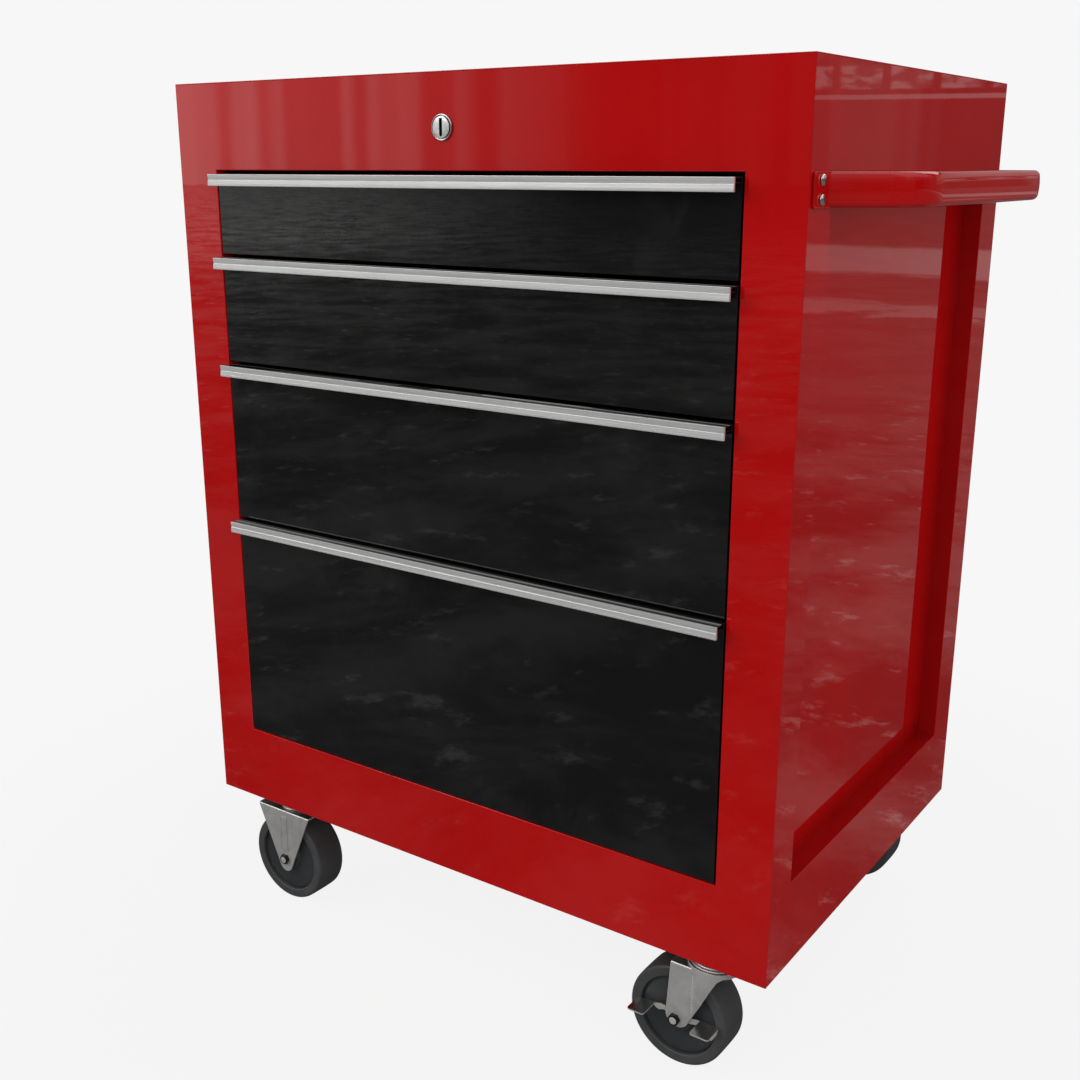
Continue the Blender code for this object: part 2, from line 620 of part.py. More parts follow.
def build_rigid_caster(tag, centre_y):
    build_wheel(tag, RIGID_X, centre_y)
    fork = plate(RIGID_X, centre_y, -3.0, tag + "_fork")
    neck = cylinder("xy", RIGID_X, centre_y, 17.0, -8.8, -2.8, 28)
    crown = box(RIGID_X - 38.2, RIGID_X + 38.2, centre_y - 22.2, centre_y + 22.2, -10.6, -8.45)
    ribs = [box(RIGID_X - RIB_HALF_W, RIGID_X + RIB_HALF_W, *y_range, *RIB_Z)
            for y_range in front_and_back(centre_y, *RIB_Y)]
    union(fork, neck, crown, *leg_pair(rigid_leg_outline(), centre_y, RIGID_LEG_Y), *ribs)
    cut(fork, axle_drill(RIGID_X, centre_y))
    finish(fork, "zinc")
    build_axle(tag, RIGID_X, centre_y, RIGID_LEG_Y)


def build_swivel_plate(tag, centre_y):
    top = plate(KING_X, centre_y, -2.8, tag + "_plate")
    boss = cylinder("xy", KING_X, centre_y, 23.0, -4.6, -2.6, 28)
    pin = cylinder("xy", KING_X, centre_y, 6.0, -14.0, -4.0, 20)
    rivet = cylinder("xy", KING_X, centre_y, 10.0, -14.6, -12.0, 24)
    union(top, boss, pin, rivet)
    finish(top, "zinc")


def build_swivel_fork(tag, centre_y):
    fork = box(584.9, KING_X, centre_y - 22.6, centre_y + 22.6, -11.6, -9.3,
               name=tag + "_fork")
    cup = cylinder("xy", KING_X, centre_y, 26.3, -11.9, -6.2, 28)
    race = cylinder("xy", KING_X, centre_y, 24.0, -6.6, -4.9, 28)
    union(fork, cup, race, *leg_pair(SWIVEL_LEG, centre_y, SWIVEL_LEG_Y))
    pin_hole = cylinder("xy", KING_X, centre_y, 6.4, -20, 0, 24)
    cup_hollow = cylinder("xy", KING_X, centre_y, 17.0, -8.6, 0, 28)
    rivet_seat = cylinder("xy", KING_X, centre_y, 10.6, -20, -11.55, 24)
    cut(fork, pin_hole, cup_hollow, rivet_seat, axle_drill(SWIVEL_X, centre_y))
    finish(fork, "zinc", origin=to_world(KING_X, centre_y, 0.0))


def build_brake(tag, centre_y):
    """Seesaw lever around the axle, between front leg and wheel, with a pad at each end."""
    y0, y1 = (centre_y + offset for offset in BRAKE_LEVER_Y)
    brake = prism("xz", BRAKE_LEVER, y0, y1, tag + "_brake")
    union(brake, *[box(*x_range, centre_y - PEDAL_Y, centre_y + PAD_BACK_Y, *PAD_Z)
                   for x_range in PAD_RANGES_X])
    cut(brake, axle_drill(SWIVEL_X, centre_y))
    finish(brake, "zinc", origin=to_world(SWIVEL_X, centre_y, AXLE_Z))


def build_swivel_caster(tag, centre_y):
    build_wheel(tag, SWIVEL_X, centre_y)
    build_swivel_plate(tag, centre_y)
    build_swivel_fork(tag, centre_y)
    build_axle(tag, SWIVEL_X, centre_y, SWIVEL_LEG_Y)
    build_brake(tag, centre_y)


# ------------------------------------------------------------------------- build
build_front_frame()
build_side_panel("left")
build_side_panel("right")
build_back_panel()
build_top_panel()
build_bottom_pan()
build_handle()
build_handle_screws()
build_lock()
for drawer_number, (z_low, z_high) in enumerate(DRAWERS, 1):
    build_drawer(drawer_number, z_low, z_high)
for end_name, wheel_y in (("front", WHEEL_Y), ("rear", CAB_D - WHEEL_Y)):
    build_rigid_caster("caster_%s_left" % end_name, wheel_y)
    build_swivel_caster("caster_%s_right" % end_name, wheel_y)
bpy.context.view_layer.update()
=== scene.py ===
"""Rolling tool cabinet: looks, floor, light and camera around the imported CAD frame.

Sizes are cabinet millimetres: x from the left side (0) to the right side, y from the front
face (0) to the back, z up from the underside of the body, so the casters lie below zero.
P() turns them into the frame's metres. The push handle is on the right side.
Shaders, lights and the camera work in metres.
"""
import math

import bmesh
import bpy
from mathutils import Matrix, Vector

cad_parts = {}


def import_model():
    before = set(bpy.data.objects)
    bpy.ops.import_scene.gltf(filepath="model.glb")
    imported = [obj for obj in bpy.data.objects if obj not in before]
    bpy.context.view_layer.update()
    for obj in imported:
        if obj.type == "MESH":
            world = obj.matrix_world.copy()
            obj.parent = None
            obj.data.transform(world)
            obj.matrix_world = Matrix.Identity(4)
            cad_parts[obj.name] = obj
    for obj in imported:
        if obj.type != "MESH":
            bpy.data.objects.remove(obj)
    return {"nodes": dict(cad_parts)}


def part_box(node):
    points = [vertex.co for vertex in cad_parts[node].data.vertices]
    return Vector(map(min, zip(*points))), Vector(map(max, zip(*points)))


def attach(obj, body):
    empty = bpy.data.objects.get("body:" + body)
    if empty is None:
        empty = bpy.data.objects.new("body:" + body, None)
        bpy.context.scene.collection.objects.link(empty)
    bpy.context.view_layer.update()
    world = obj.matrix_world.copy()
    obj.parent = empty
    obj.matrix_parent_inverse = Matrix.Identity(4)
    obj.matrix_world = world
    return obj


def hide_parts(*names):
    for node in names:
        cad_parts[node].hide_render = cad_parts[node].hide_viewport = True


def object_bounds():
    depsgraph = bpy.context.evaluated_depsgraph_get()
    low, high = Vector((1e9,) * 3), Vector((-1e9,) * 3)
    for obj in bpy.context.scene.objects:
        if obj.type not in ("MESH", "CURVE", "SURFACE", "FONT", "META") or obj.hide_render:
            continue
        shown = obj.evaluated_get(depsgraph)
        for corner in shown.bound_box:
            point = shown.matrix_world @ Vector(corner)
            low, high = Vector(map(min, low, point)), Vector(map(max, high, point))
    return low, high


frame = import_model()
CAD_BOX = [[float(c) for c in v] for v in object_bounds()]
LO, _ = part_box("front_frame")
SCENE = bpy.context.scene
X, Y, Z = 0, 1, 2

# Body
WIDTH, DEPTH = 680.0, 461.0
OPENING_X, OPENING_Z = (52.0, 628.0), (82.8, 681.0)     # drawer opening in the front frame
PRESSING_Y, PRESSING_Z = (42.0, 416.0), (83.5, 668.0)   # sunk field in each side panel
DRAWER_X = (53.8, 626.2)
DRAWERS = ((600.8, 677.5), (493.5, 597.3), (328.3, 490.0), (84.6, 324.8))  # bottom, top z

# Casters: each is built from the y of its row
CASTER_ROWS = (("front", 0.0), ("rear", 410.0))
LEFT_AXLE_X = 88.8
RIGHT_AXLE_X = WIDTH - LEFT_AXLE_X
AXLE_Z = -68.2
FORK_SPAN = 51.0                 # a fork's depth frame, mirrored about its middle
FORK_MID = FORK_SPAN / 2
RIGID_CHEEK_Y, SWIVEL_CHEEK_Y = 3.0, 2.6   # outer face of the front cheek
FORK_BEND, FORK_SHEET = 1.9, 1.7           # bend radius and sheet thickness
SWIVEL_X = 620.0                 # kingpin of the swivel casters


def P(x, y, z):
    return LO + Vector((x, y, z)) * 0.001


def MM(co):
    return (co - LO) * 1000.0


# ================================================================ node helpers
class Graph:
    """Builds one node tree. Every input can be a number, a colour or a socket."""

    def __init__(self, tree, vector=None, spare=0.0):
        self.tree = tree
        self.vector = vector      # coordinates the textures read
        self.spare = spare        # value for an unused third math input; None leaves it alone

    def put(self, socket, value):
        if isinstance(value, bpy.types.NodeSocket):
            self.tree.links.new(value, socket)
        elif isinstance(value, (tuple, list)) and len(value) == 3 and socket.type == "RGBA":
            socket.default_value = (*value, 1.0)
        else:
            socket.default_value = value

    def node(self, kind, inputs=None, **props):
        made = self.tree.nodes.new(kind)
        for key, value in props.items():
            setattr(made, key, value)
        for key, value in (inputs or {}).items():
            self.put(made.inputs[key], value)
        return made

    def stretch(self, *scale):
        return self.node("ShaderNodeMapping", {"Vector": self.vector, "Scale": scale}).outputs[0]

    def noise(self, scale=1.0, detail=2.0, rough=0.5, vec=None, warp=0.0, dims="3D"):
        place = "W" if dims == "1D" else "Vector"
        inputs = {place: vec or self.vector, "Scale": scale, "Detail": detail,
                  "Roughness": rough, "Distortion": warp}
        return self.node("ShaderNodeTexNoise", inputs, noise_dimensions=dims).outputs[0]

    def cells(self, scale=1.0, vec=None, feature="F1", dims="3D"):
        return self.node("ShaderNodeTexVoronoi", {"Vector": vec or self.vector, "Scale": scale},
                         voronoi_dimensions=dims, feature=feature).outputs[0]

    def remap(self, value, over, to, kind="LINEAR"):
        inputs = {0: value, 1: over[0], 2: over[1], 3: to[0], 4: to[1]}
        return self.node("ShaderNodeMapRange", inputs, interpolation_type=kind,
                         clamp=True).outputs[0]

    def ease(self, value, over, to=(0.0, 1.0)):
        """Smooth step from to[0] to to[1] while the value crosses `over`."""
        return self.remap(value, over, to, "SMOOTHSTEP")

    def mix(self, factor, first, second):
        return self.node("ShaderNodeMix", {0: factor, 6: first, 7: second},
                         data_type="RGBA").outputs[2]

    def mix_shader(self, factor, first, second):
        return self.node("ShaderNodeMixShader", {0: factor, 1: first, 2: second}).outputs[0]

    def math(self, operation, a, b=0.0, c=None):
        inputs = {0: a, 1: b}
        third = self.spare if c is None else c
        if third is not None:
            inputs[2] = third
        return self.node("ShaderNodeMath", inputs, operation=operation).outputs[0]

    def add(self, a, b):
        return self.math("ADD", a, b)

    def mul(self, a, b):
        return self.math("MULTIPLY", a, b)

    def inverse(self, mask):
        return self.math("SUBTRACT", 1.0, mask)

    def outside(self, value, mask):
        return self.mul(value, self.inverse(mask))

    def bump(self, height, strength, distance, normal=None):
        inputs = {"Strength": strength, "Distance": distance, "Height": height}
        if normal is not None:
            inputs["Normal"] = normal
        return self.node("ShaderNodeBump", inputs).outputs[0]


class Mat(Graph):
    """A Principled material whose textures read object coordinates."""

    def __init__(self, name):
        self.material = bpy.data.materials.new(name)
        self.material.use_nodes = True
        super().__init__(self.material.node_tree)
        self.vector = self.node("ShaderNodeTexCoord").outputs["Object"]

    def surface(self, **inputs):
        shader = self.tree.nodes["Principled BSDF"]
        for key, value in inputs.items():
            self.put(shader.inputs[key.replace("_", " ")], value)
        return self.material


def scaled(colour, k):
    return [v * k for v in colour]


# =================================================================== materials
MID = (0.3, 0.7)      # the range in which most of a noise falls


def orange_peel(m, wave_scale):
    """Long paint waves with a fine peel on top."""
    wave = m.noise(scale=wave_scale, detail=1.0, rough=0.4)
    peel = m.noise(scale=420.0, detail=1.0, rough=0.4)
    waves = m.bump(wave, strength=0.014, distance=0.0004)
    return m.bump(peel, strength=0.012, distance=0.00012, normal=waves)


def pressing_shade_mask(m):
    """1 in the middle of the pressing, less towards its bottom, front and back edges: the mask of
    its painted shade.
    """
    at = m.node("ShaderNodeSeparateXYZ", {0: m.vector}).outputs
    front, back = (P(0, y, 0).y for y in PRESSING_Y)
    bottom = P(0, 0, PRESSING_Z[0]).z
    low = m.ease(at["Z"], over=(bottom, bottom + 0.030), to=(0.66, 1.0))
    far = m.ease(at["Y"], over=(back - 0.045, back), to=(1.0, 0.70))
    fore = m.ease(at["Y"], over=(front, front + 0.012), to=(0.90, 1.0))
    return m.mul(low, m.mul(far, fore))


def gloss_red(name, strength=1.0, coat=1.0, rim=False):
    """Gloss powder coat: orange peel, soft clouding, a few dust nibs under the clear."""
    m = Mat(name)
    deep, light = (0.455 * strength, 0.0030, 0.0034), (0.505 * strength, 0.0042, 0.0046)
    shade, pale_fleck, black = (0.405 * strength, 0.0026, 0.0030), (0.52, 0.055, 0.052), (0.0, 0.0, 0.0)
    cloud = m.noise(scale=3.2, detail=3.0, rough=0.55)
    fine = m.noise(scale=21.0, detail=4.0, rough=0.6)
    colour = m.mix(m.ease(cloud, over=(0.35, 0.68)), deep, light)
    colour = m.mix(m.ease(fine, over=(0.40, 0.75), to=(0.0, 0.22)), colour, shade)
    nib = m.ease(m.cells(scale=46.0), over=(0.035, 0.012))
    gate = m.ease(m.noise(scale=7.0, detail=1.0), over=(0.52, 0.66), to=(0.0, 0.28))
    colour = m.mix(m.mul(nib, gate), colour, pale_fleck)
    # painted shade: in the pressing the colour darkens to black towards its bottom, front and back
    # edges
    if rim:
        colour = m.mix(m.inverse(pressing_shade_mask(m)), colour, black)
    normal = orange_peel(m, wave_scale=55.0)
    return m.surface(Base_Color=colour, Roughness=m.remap(fine, over=MID, to=(0.30, 0.40)),
                     Metallic=0.0, Specular_IOR_Level=0.0, Coat_Weight=coat,
                     Coat_Roughness=m.remap(cloud, over=MID, to=(0.006, 0.022)), Coat_IOR=1.5,
                     Normal=normal, Coat_Normal=normal)


def gloss_black():
    """Gloss black powder coat with lighter blotches, streaks and sparse pale specks in its colour:
    part haze, smudge and dust, part painted reflection of a mottled surrounding.
    """
    m = Mat("gloss_black_paint")
    clean, hazed_and_reflecting = (0.0072, 0.0072, 0.0074), (0.0150, 0.0150, 0.0158)
    smudge_and_reflection, pale_fleck = (0.0160, 0.0152, 0.0142), (0.035, 0.034, 0.032)
    big = m.noise(scale=4.5, detail=5.0, rough=0.62, warp=0.4)
    mid = m.noise(scale=17.0, detail=7.0, rough=0.68, warp=0.5)
    streak = m.noise(scale=9.0, detail=5.0, rough=0.65, vec=m.stretch(0.55, 1.0, 2.6))
    # painted reflection together with haze and smudge: lighter blotches, streaks and specks in the
    # colour
    haze_and_reflection = m.mul(m.ease(big, over=(0.46, 0.70)), m.ease(mid, over=(0.44, 0.68)))
    colour = m.mix(haze_and_reflection, clean, hazed_and_reflecting)
    colour = m.mix(m.ease(streak, over=(0.55, 0.78), to=(0.0, 0.65)), colour, smudge_and_reflection)
    speck = m.ease(m.cells(scale=75.0), over=(0.030, 0.010))
    gate = m.ease(mid, over=(0.52, 0.66), to=(0.0, 0.6))
    colour = m.mix(m.mul(speck, gate), colour, pale_fleck)
    normal = orange_peel(m, wave_scale=48.0)
    return m.surface(Base_Color=colour, Roughness=0.42, Specular_IOR_Level=0.0, Coat_Weight=1.0,
                     Coat_Roughness=m.remap(mid, over=(0.35, 0.70), to=(0.006, 0.026)),
                     Coat_IOR=1.5, Normal=normal, Coat_Normal=normal)


def brushed_alu():
    """Extruded aluminium, brushed along x."""
    m = Mat("brushed_aluminium")
    dull, bright, patch = (0.79, 0.79, 0.79), (0.92, 0.92, 0.92), (0.70, 0.70, 0.70)
    fine = m.noise(rough=0.6, vec=m.stretch(14.0, 2600.0, 2600.0))
    line = m.noise(rough=0.6, vec=m.stretch(4.0, 700.0, 700.0))
    tone = m.noise(detail=3.0, rough=0.6, vec=m.stretch(22.0, 160.0, 160.0))
    colour = m.mix(m.ease(line, over=MID), dull, bright)
    colour = m.mix(m.ease(tone, over=(0.35, 0.7), to=(0.0, 0.30)), colour, patch)
    fine_share = line_share = 0.6      # weights in the bump height
    height = m.add(m.mul(fine, fine_share), m.mul(line, line_share))
    return m.surface(Base_Color=colour, Metallic=0.62,
                     Roughness=m.remap(fine, over=MID, to=(0.34, 0.46)), Anisotropic=0.35,
                     Normal=m.bump(height, strength=0.10, distance=0.00008))


def zinc(name, base, shade, rough, wall_metal=1.0, level_metal=1.0):
    """Bright zinc plate: cloudy patches and faint drawing lines down the sheet.

    shade: darkest and lightest multiple of the base colour. The metallic value differs
    between upright walls and level faces.
    """
    m = Mat(name)
    deep, light = scaled(base, shade[0]), scaled(base, shade[1])
    cloud = m.noise(scale=48.0, detail=5.0, rough=0.62, warp=0.8)
    patch = m.noise(scale=130.0, detail=3.0, rough=0.55)
    line = m.noise(vec=m.stretch(900.0, 900.0, 60.0))
    colour = m.mix(m.ease(cloud, over=(0.32, 0.70)), deep, light)
    colour = m.mix(m.ease(patch, over=(0.50, 0.80), to=(0.0, 0.35)), colour, scaled(light, 1.08))
    draw = m.noise(rough=0.55, vec=m.stretch(620.0, 620.0, 9.0))
    colour = m.mix(m.ease(draw, over=(0.42, 0.72), to=(0.0, 0.30)), colour, scaled(light, 1.12))
    facing = m.node("ShaderNodeNewGeometry").outputs["True Normal"]
    rise = m.node("ShaderNodeSeparateXYZ", {0: facing}).outputs["Z"]
    metal = m.remap(m.math("ABSOLUTE", rise), over=(0.45, 0.90), to=(wall_metal, level_metal))
    cloud_share, line_share = 0.5, 0.25      # weights in the bump height
    height = m.add(m.mul(cloud, cloud_share), m.mul(line, line_share))
    roughness = m.remap(cloud, over=(0.3, 0.72), to=(rough + 0.10, rough - 0.08))
    return m.surface(Base_Color=colour, Metallic=metal, Roughness=roughness,
                     Specular_IOR_Level=0.3,
                     Normal=m.bump(height, strength=0.10, distance=0.0004))


def bright_metal(name, base, rough, metal):
    """Smooth bright metal with a fine mottle."""
    m = Mat(name)
    mottle = m.noise(scale=240.0, detail=3.0, rough=0.6)
    colour = m.mix(m.ease(mottle, over=(0.35, 0.7), to=(0.0, 0.4)), base, scaled(base, 0.82))
    return m.surface(Base_Color=colour, Metallic=metal,
                     Roughness=m.remap(mottle, over=MID, to=(rough * 0.8, rough * 1.5)),
                     Normal=m.bump(mottle, strength=0.05, distance=0.00005))


def rubber():
    m = Mat("tyre_rubber")
    deep, light = (0.046, 0.047, 0.048), (0.064, 0.065, 0.066)
    grain = m.noise(scale=900.0)
    big = m.noise(scale=34.0, detail=4.0, rough=0.6)
    colour = m.mix(m.ease(big, over=(0.35, 0.72)), deep, light)
    big_share = 0.5      # weight in the bump height
    height = m.add(grain, m.mul(big, big_share))
    return m.surface(Base_Color=colour, Roughness=m.remap(big, over=MID, to=(0.50, 0.66)),
                     Specular_IOR_Level=0.42,
                     Normal=m.bump(height, strength=0.16, distance=0.0002))


def hub_plastic():
    m = Mat("hub_moulding")
    deep, light = (0.0235, 0.0265, 0.0290), (0.034, 0.0375, 0.040)
    grain = m.noise(scale=700.0)
    big = m.noise(scale=26.0, detail=4.0, rough=0.6)
    colour = m.mix(m.ease(big, over=(0.35, 0.70)), deep, light)
    return m.surface(Base_Color=colour, Roughness=m.remap(big, over=MID, to=(0.40, 0.55)),
                     Specular_IOR_Level=0.5,
                     Normal=m.bump(grain, strength=0.08, distance=0.00015))


def dark(name, base, rough, metal=0.0):
    """Near-black surface with a light mottle."""
    m = Mat(name)
    mottle = m.noise(scale=120.0, detail=3.0, rough=0.6)
    colour = m.mix(m.remap(mottle, over=MID, to=(0.0, 1.0)), base, scaled(base, 0.6))
    return m.surface(Base_Color=colour, Metallic=metal,
                     Roughness=m.remap(mottle, over=MID, to=(rough * 0.9, rough * 1.1)))


def lock_face():
    """Lapped metal face with soft bands that run up and down."""
    m = Mat("lock_face")
    deep, light = (0.72, 0.725, 0.71), (0.82, 0.825, 0.81)
    band = m.noise(vec=m.stretch(380.0, 380.0, 30.0))
    grain = m.noise(scale=400.0)
    colour = m.mix(m.ease(band, over=(0.35, 0.65)), deep, light)
    return m.surface(Base_Color=colour, Metallic=0.5,
                     Roughness=m.remap(grain, over=MID, to=(0.26, 0.38)),
                     Normal=m.bump(band, strength=0.06, distance=0.0001))


RED = gloss_red("gloss_red_paint")
# painted shade: the pressing's field darkens towards its edges, and its walls get a darker copy of
# the red
RED_FIELD = gloss_red("gloss_red_paint_in_pressing", rim=True)
RED_WALL_SHADED = gloss_red("red_paint_painted_shade", strength=0.76, coat=0.6)   # darker, duller copy for the pressing walls: painted shade
BLACK = gloss_black()
ALU = brushed_alu()
ZINC = zinc("cloudy_zinc", base=(0.487, 0.479, 0.471), shade=(0.88, 1.12), rough=0.32,
            wall_metal=0.45)
RAIL = zinc("slide_zinc", base=(0.60, 0.60, 0.59), shade=(0.90, 1.10), rough=0.30)
CHROME = bright_metal("chrome", base=(0.78, 0.78, 0.78), rough=0.14, metal=1.0)
STEEL = bright_metal("bright_steel", base=(0.80, 0.79, 0.78), rough=0.26, metal=0.6)
RUBBER = rubber()
HUB = hub_plastic()
# near-black for painted shade round the lock: the bezel's foot, the plug's rim and the keyway
SHADE_BLACK = dark("painted_shade_black", base=(0.006, 0.006, 0.006), rough=0.6)
# near-black for the sides of the axle heads: painted shade
HEAD_SIDE_SHADE = dark("axle_head_painted_shade", base=(0.020, 0.019, 0.019), rough=0.35, metal=0.6)
LOCK_FACE = lock_face()
BRAKE = zinc("brake_plate", base=(0.56, 0.555, 0.545), shade=(0.88, 1.12), rough=0.34,
             wall_metal=0.45)
# darker zinc for the pads' tops as painted shade, brighter zinc for the left pad's outer edge as
# painted highlight
PAD_TOP_SHADED = zinc("brake_pad_top_painted_shade", base=(0.27, 0.265, 0.26), shade=(0.88, 1.10), rough=0.22,
           wall_metal=0.88, level_metal=0.88)
PAD_TIP_HIGHLIGHT = zinc("brake_pad_tip_painted_highlight", base=(0.66, 0.65, 0.64), shade=(0.92, 1.06), rough=0.20)


# ============================================================== object helpers
def link(name, data):
    ob = bpy.data.objects.new(name, data)
    SCENE.collection.objects.link(ob)
    return ob


def add_object(name, bm):
    bmesh.ops.remove_doubles(bm, verts=bm.verts, dist=1e-7)
    bmesh.ops.recalc_face_normals(bm, faces=bm.faces)
    mesh = bpy.data.meshes.new(name)
    bm.to_mesh(mesh)
    bm.free()
    return link(name, mesh)


def paint(ob, materials, pick):
    """Give each face the material whose index pick(centre in mm, normal) returns."""
    mesh = ob.data
    mesh.materials.clear()
    for material in materials:
        mesh.materials.append(material)
    for face in mesh.polygons:
        face.material_index = int(pick(MM(face.center), face.normal))


def give(ob, material, body, node, sharp=38.0, weighted=True):
    """Shade the piece, hand it to its body and let it stand in for its CAD node.

    The material is used unless the piece is painted already; sharp is in degrees.
    """
    mesh = ob.data
    if not mesh.materials:
        mesh.materials.append(material)
    mesh.shade_smooth()
    mesh.set_sharp_from_angle(angle=math.radians(sharp))
    if weighted:
        modifier = ob.modifiers.new("wn", "WEIGHTED_NORMAL")
        modifier.keep_sharp = True
        modifier.weight = 60
        bake(ob)
    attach(ob, body)
    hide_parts(node)


def bake(ob):
    """Apply the modifiers."""
    bpy.context.view_layer.update()
    graph = bpy.context.evaluated_depsgraph_get()
    mesh = bpy.data.meshes.new_from_object(ob.evaluated_get(graph),
                                           preserve_all_data_layers=True, depsgraph=graph)
    ob.modifiers.clear()
    ob.data = mesh


def boolean(target, others, how="UNION"):
    """Join or cut the other objects one by one, and remove them."""
    for other in others:
        modifier = target.modifiers.new("b", "BOOLEAN")
        modifier.operation = how
        modifier.solver = "EXACT"
        modifier.object = other
        bake(target)
        bpy.data.objects.remove(other, do_unlink=True)


def tidy(ob):
    """Close the hairline gaps a boolean can leave."""
    bm = bmesh.new()
    bm.from_mesh(ob.data)
    bmesh.ops.remove_doubles(bm, verts=bm.verts, dist=4e-6)
    bmesh.ops.dissolve_degenerate(bm, edges=bm.edges, dist=2e-6)
    bmesh.ops.holes_fill(bm, edges=[e for e in bm.edges if len(e.link_faces) == 1], sides=0)
    bmesh.ops.delete(bm, geom=[e for e in bm.edges if not e.link_faces], context="EDGES")
    bmesh.ops.delete(bm, geom=[v for v in bm.verts if not v.link_edges], context="VERTS")
    bmesh.ops.recalc_face_normals(bm, faces=bm.faces)
    bm.to_mesh(ob.data)
    bm.free()


# ================================================================ CAD reshaping
def cad_bm(node):
    """The CAD mesh with its flat faces merged."""
    bm = bmesh.new()
    bm.from_mesh(frame["nodes"][node].data)
    bmesh.ops.remove_doubles(bm, verts=bm.verts, dist=2e-6)
    bmesh.ops.dissolve_limit(bm, angle_limit=math.radians(0.6), verts=bm.verts, edges=bm.edges,
                             use_dissolve_boundaries=False)
    return bm


def snap(bm, axis, old, new):
    """Move the vertices that lie at `old` mm along the axis to `new`."""
    for v in bm.verts:
        if abs(MM(v.co)[axis] - old) < 0.03:
            v.co[axis] += (new - old) * 0.001


def round_edges(bm, edges, width, segments=2):
    bmesh.ops.bevel(bm, geom=edges, offset=width * 0.001, offset_type="OFFSET",
                    segments=segments, profile=0.5, affect="EDGES", clamp_overlap=True)


def bevel(bm, test, width, segments=2):
    """Round the creases whose end points, in mm, pass the test."""
    edges = []
    for e in bm.edges:
        if len(e.link_faces) != 2 or e.calc_face_angle(0.0) < math.radians(40.0):
            continue
        if test(MM(e.verts[0].co), MM(e.verts[1].co)):
            edges.append(e)
    if edges:
        round_edges(bm, edges, width, segments)


def near(value, *targets):
    return any(abs(value - target) < 0.05 for target in targets)


def shared(a, b, axis, *values):
    """Both ends lie at the same one of the values along the axis."""
    return near(a[axis], *values) and near(b[axis], a[axis])


def border(face_axis, face, side_axis, sides, bottom):
    """Test for the side and bottom edges of a flat face."""
    return lambda a, b: shared(a, b, face_axis, face) and (
        shared(a, b, side_axis, *sides) or shared(a, b, Z, bottom))


def opening_edge(face_axis, face, side_axis, sides, rise):
    """Test for the edges round a rectangular opening in a flat face."""
    def within(value, span):
        return span[0] - 0.1 < value < span[1] + 0.1

    def on(p):
        return (near(p[face_axis], face) and (near(p[side_axis], *sides) or near(p.z, *rise))
                and within(p[side_axis], sides) and within(p.z, rise))
    return lambda a, b: on(a) and on(b)


# ============================================================= shape builders
def loft(name, loops, closed=False):
    """Skin equal-length loops of points; closed joins the last loop to the first."""
    bm = bmesh.new()
    rows = [[bm.verts.new(p) for p in loop] for loop in loops]
    pairs = list(zip(rows, rows[1:]))
    if closed:
        pairs.append((rows[-1], rows[0]))
    count = len(rows[0])
    for a, b in pairs:
        for i in range(count):
            j = (i + 1) % count
            bm.faces.new((a[i], a[j], b[j], b[i]))
    if not closed:
        bm.faces.new(rows[0])
        bm.faces.new(rows[-1])
    return add_object(name, bm)


def lathe(name, profile, centre, axis, n=96, closed=True):
    """Spin a (radius, along) profile. closed: the profile is a ring; else its ends are capped."""
    cx, cy, cz = centre
    loops = []
    for radius, along in profile:
        loop = []
        for i in range(n):
            turn = 2 * math.pi * i / n
            u, v = radius * math.cos(turn), radius * math.sin(turn)
            loop.append(P(*{X: (cx + along, cy + u, cz + v),
                            Y: (cx + u, cy + along, cz + v),
                            Z: (cx + u, cy + v, cz + along)}[axis]))
        loops.append(loop)
    return loft(name, loops, closed)


def prism(name, outline, axis, start, end, width=0.0):
    """Extrude an outline along the axis, with edges rounded by width."""
    def put(u, v, along):
        return P(*{X: (along, u, v), Y: (u, along, v), Z: (u, v, along)}[axis])
    bm = bmesh.new()
    low = [bm.verts.new(put(u, v, start)) for u, v in outline]
    high = [bm.verts.new(put(u, v, end)) for u, v in outline]
    count = len(outline)
    bm.faces.new(low)
    bm.faces.new(high)
    for i in range(count):
        j = (i + 1) % count
        bm.faces.new((low[i], low[j], high[j], high[i]))
    bmesh.ops.recalc_face_normals(bm, faces=bm.faces)
    if width > 0:
        round_edges(bm, [e for e in bm.edges if len(e.link_faces) == 2
                         and e.calc_face_angle(0) > math.radians(60)], width)
    return add_object(name, bm)


def block(name, x0, x1, y0, y1, z0, z1, width=0.0):
    return prism(name, [(x0, z0), (x1, z0), (x1, z1), (x0, z1)], Y, y0, y1, width)


def sheet(name, front, back):
    """Closed solid between two equal grids of points (mm), with its rim softened."""
    bm = bmesh.new()
    A = [[bm.verts.new(P(*p)) for p in row] for row in front]
    B = [[bm.verts.new(P(*p)) for p in row] for row in back]
    rows, columns = len(A), len(A[0])
    for i in range(rows - 1):
        for j in range(columns - 1):
            bm.faces.new((A[i][j], A[i][j + 1], A[i + 1][j + 1], A[i + 1][j]))
            bm.faces.new((B[i][j], B[i + 1][j], B[i + 1][j + 1], B[i][j + 1]))
    rim = set()
    for i in range(rows - 1):
        for j in (0, columns - 1):
            rim.add(bm.faces.new((A[i][j], A[i + 1][j], B[i + 1][j], B[i][j])))
    for i in (0, rows - 1):
        for j in range(columns - 1):
            rim.add(bm.faces.new((A[i][j], A[i][j + 1], B[i][j + 1], B[i][j])))
    bmesh.ops.recalc_face_normals(bm, faces=bm.faces)
    edges = [e for e in bm.edges if len(e.link_faces) == 2
             and any(f in rim for f in e.link_faces)
             and e.calc_face_angle(0) > math.radians(62)]
    round_edges(bm, edges, width=0.35)
    return add_object(name, bm)


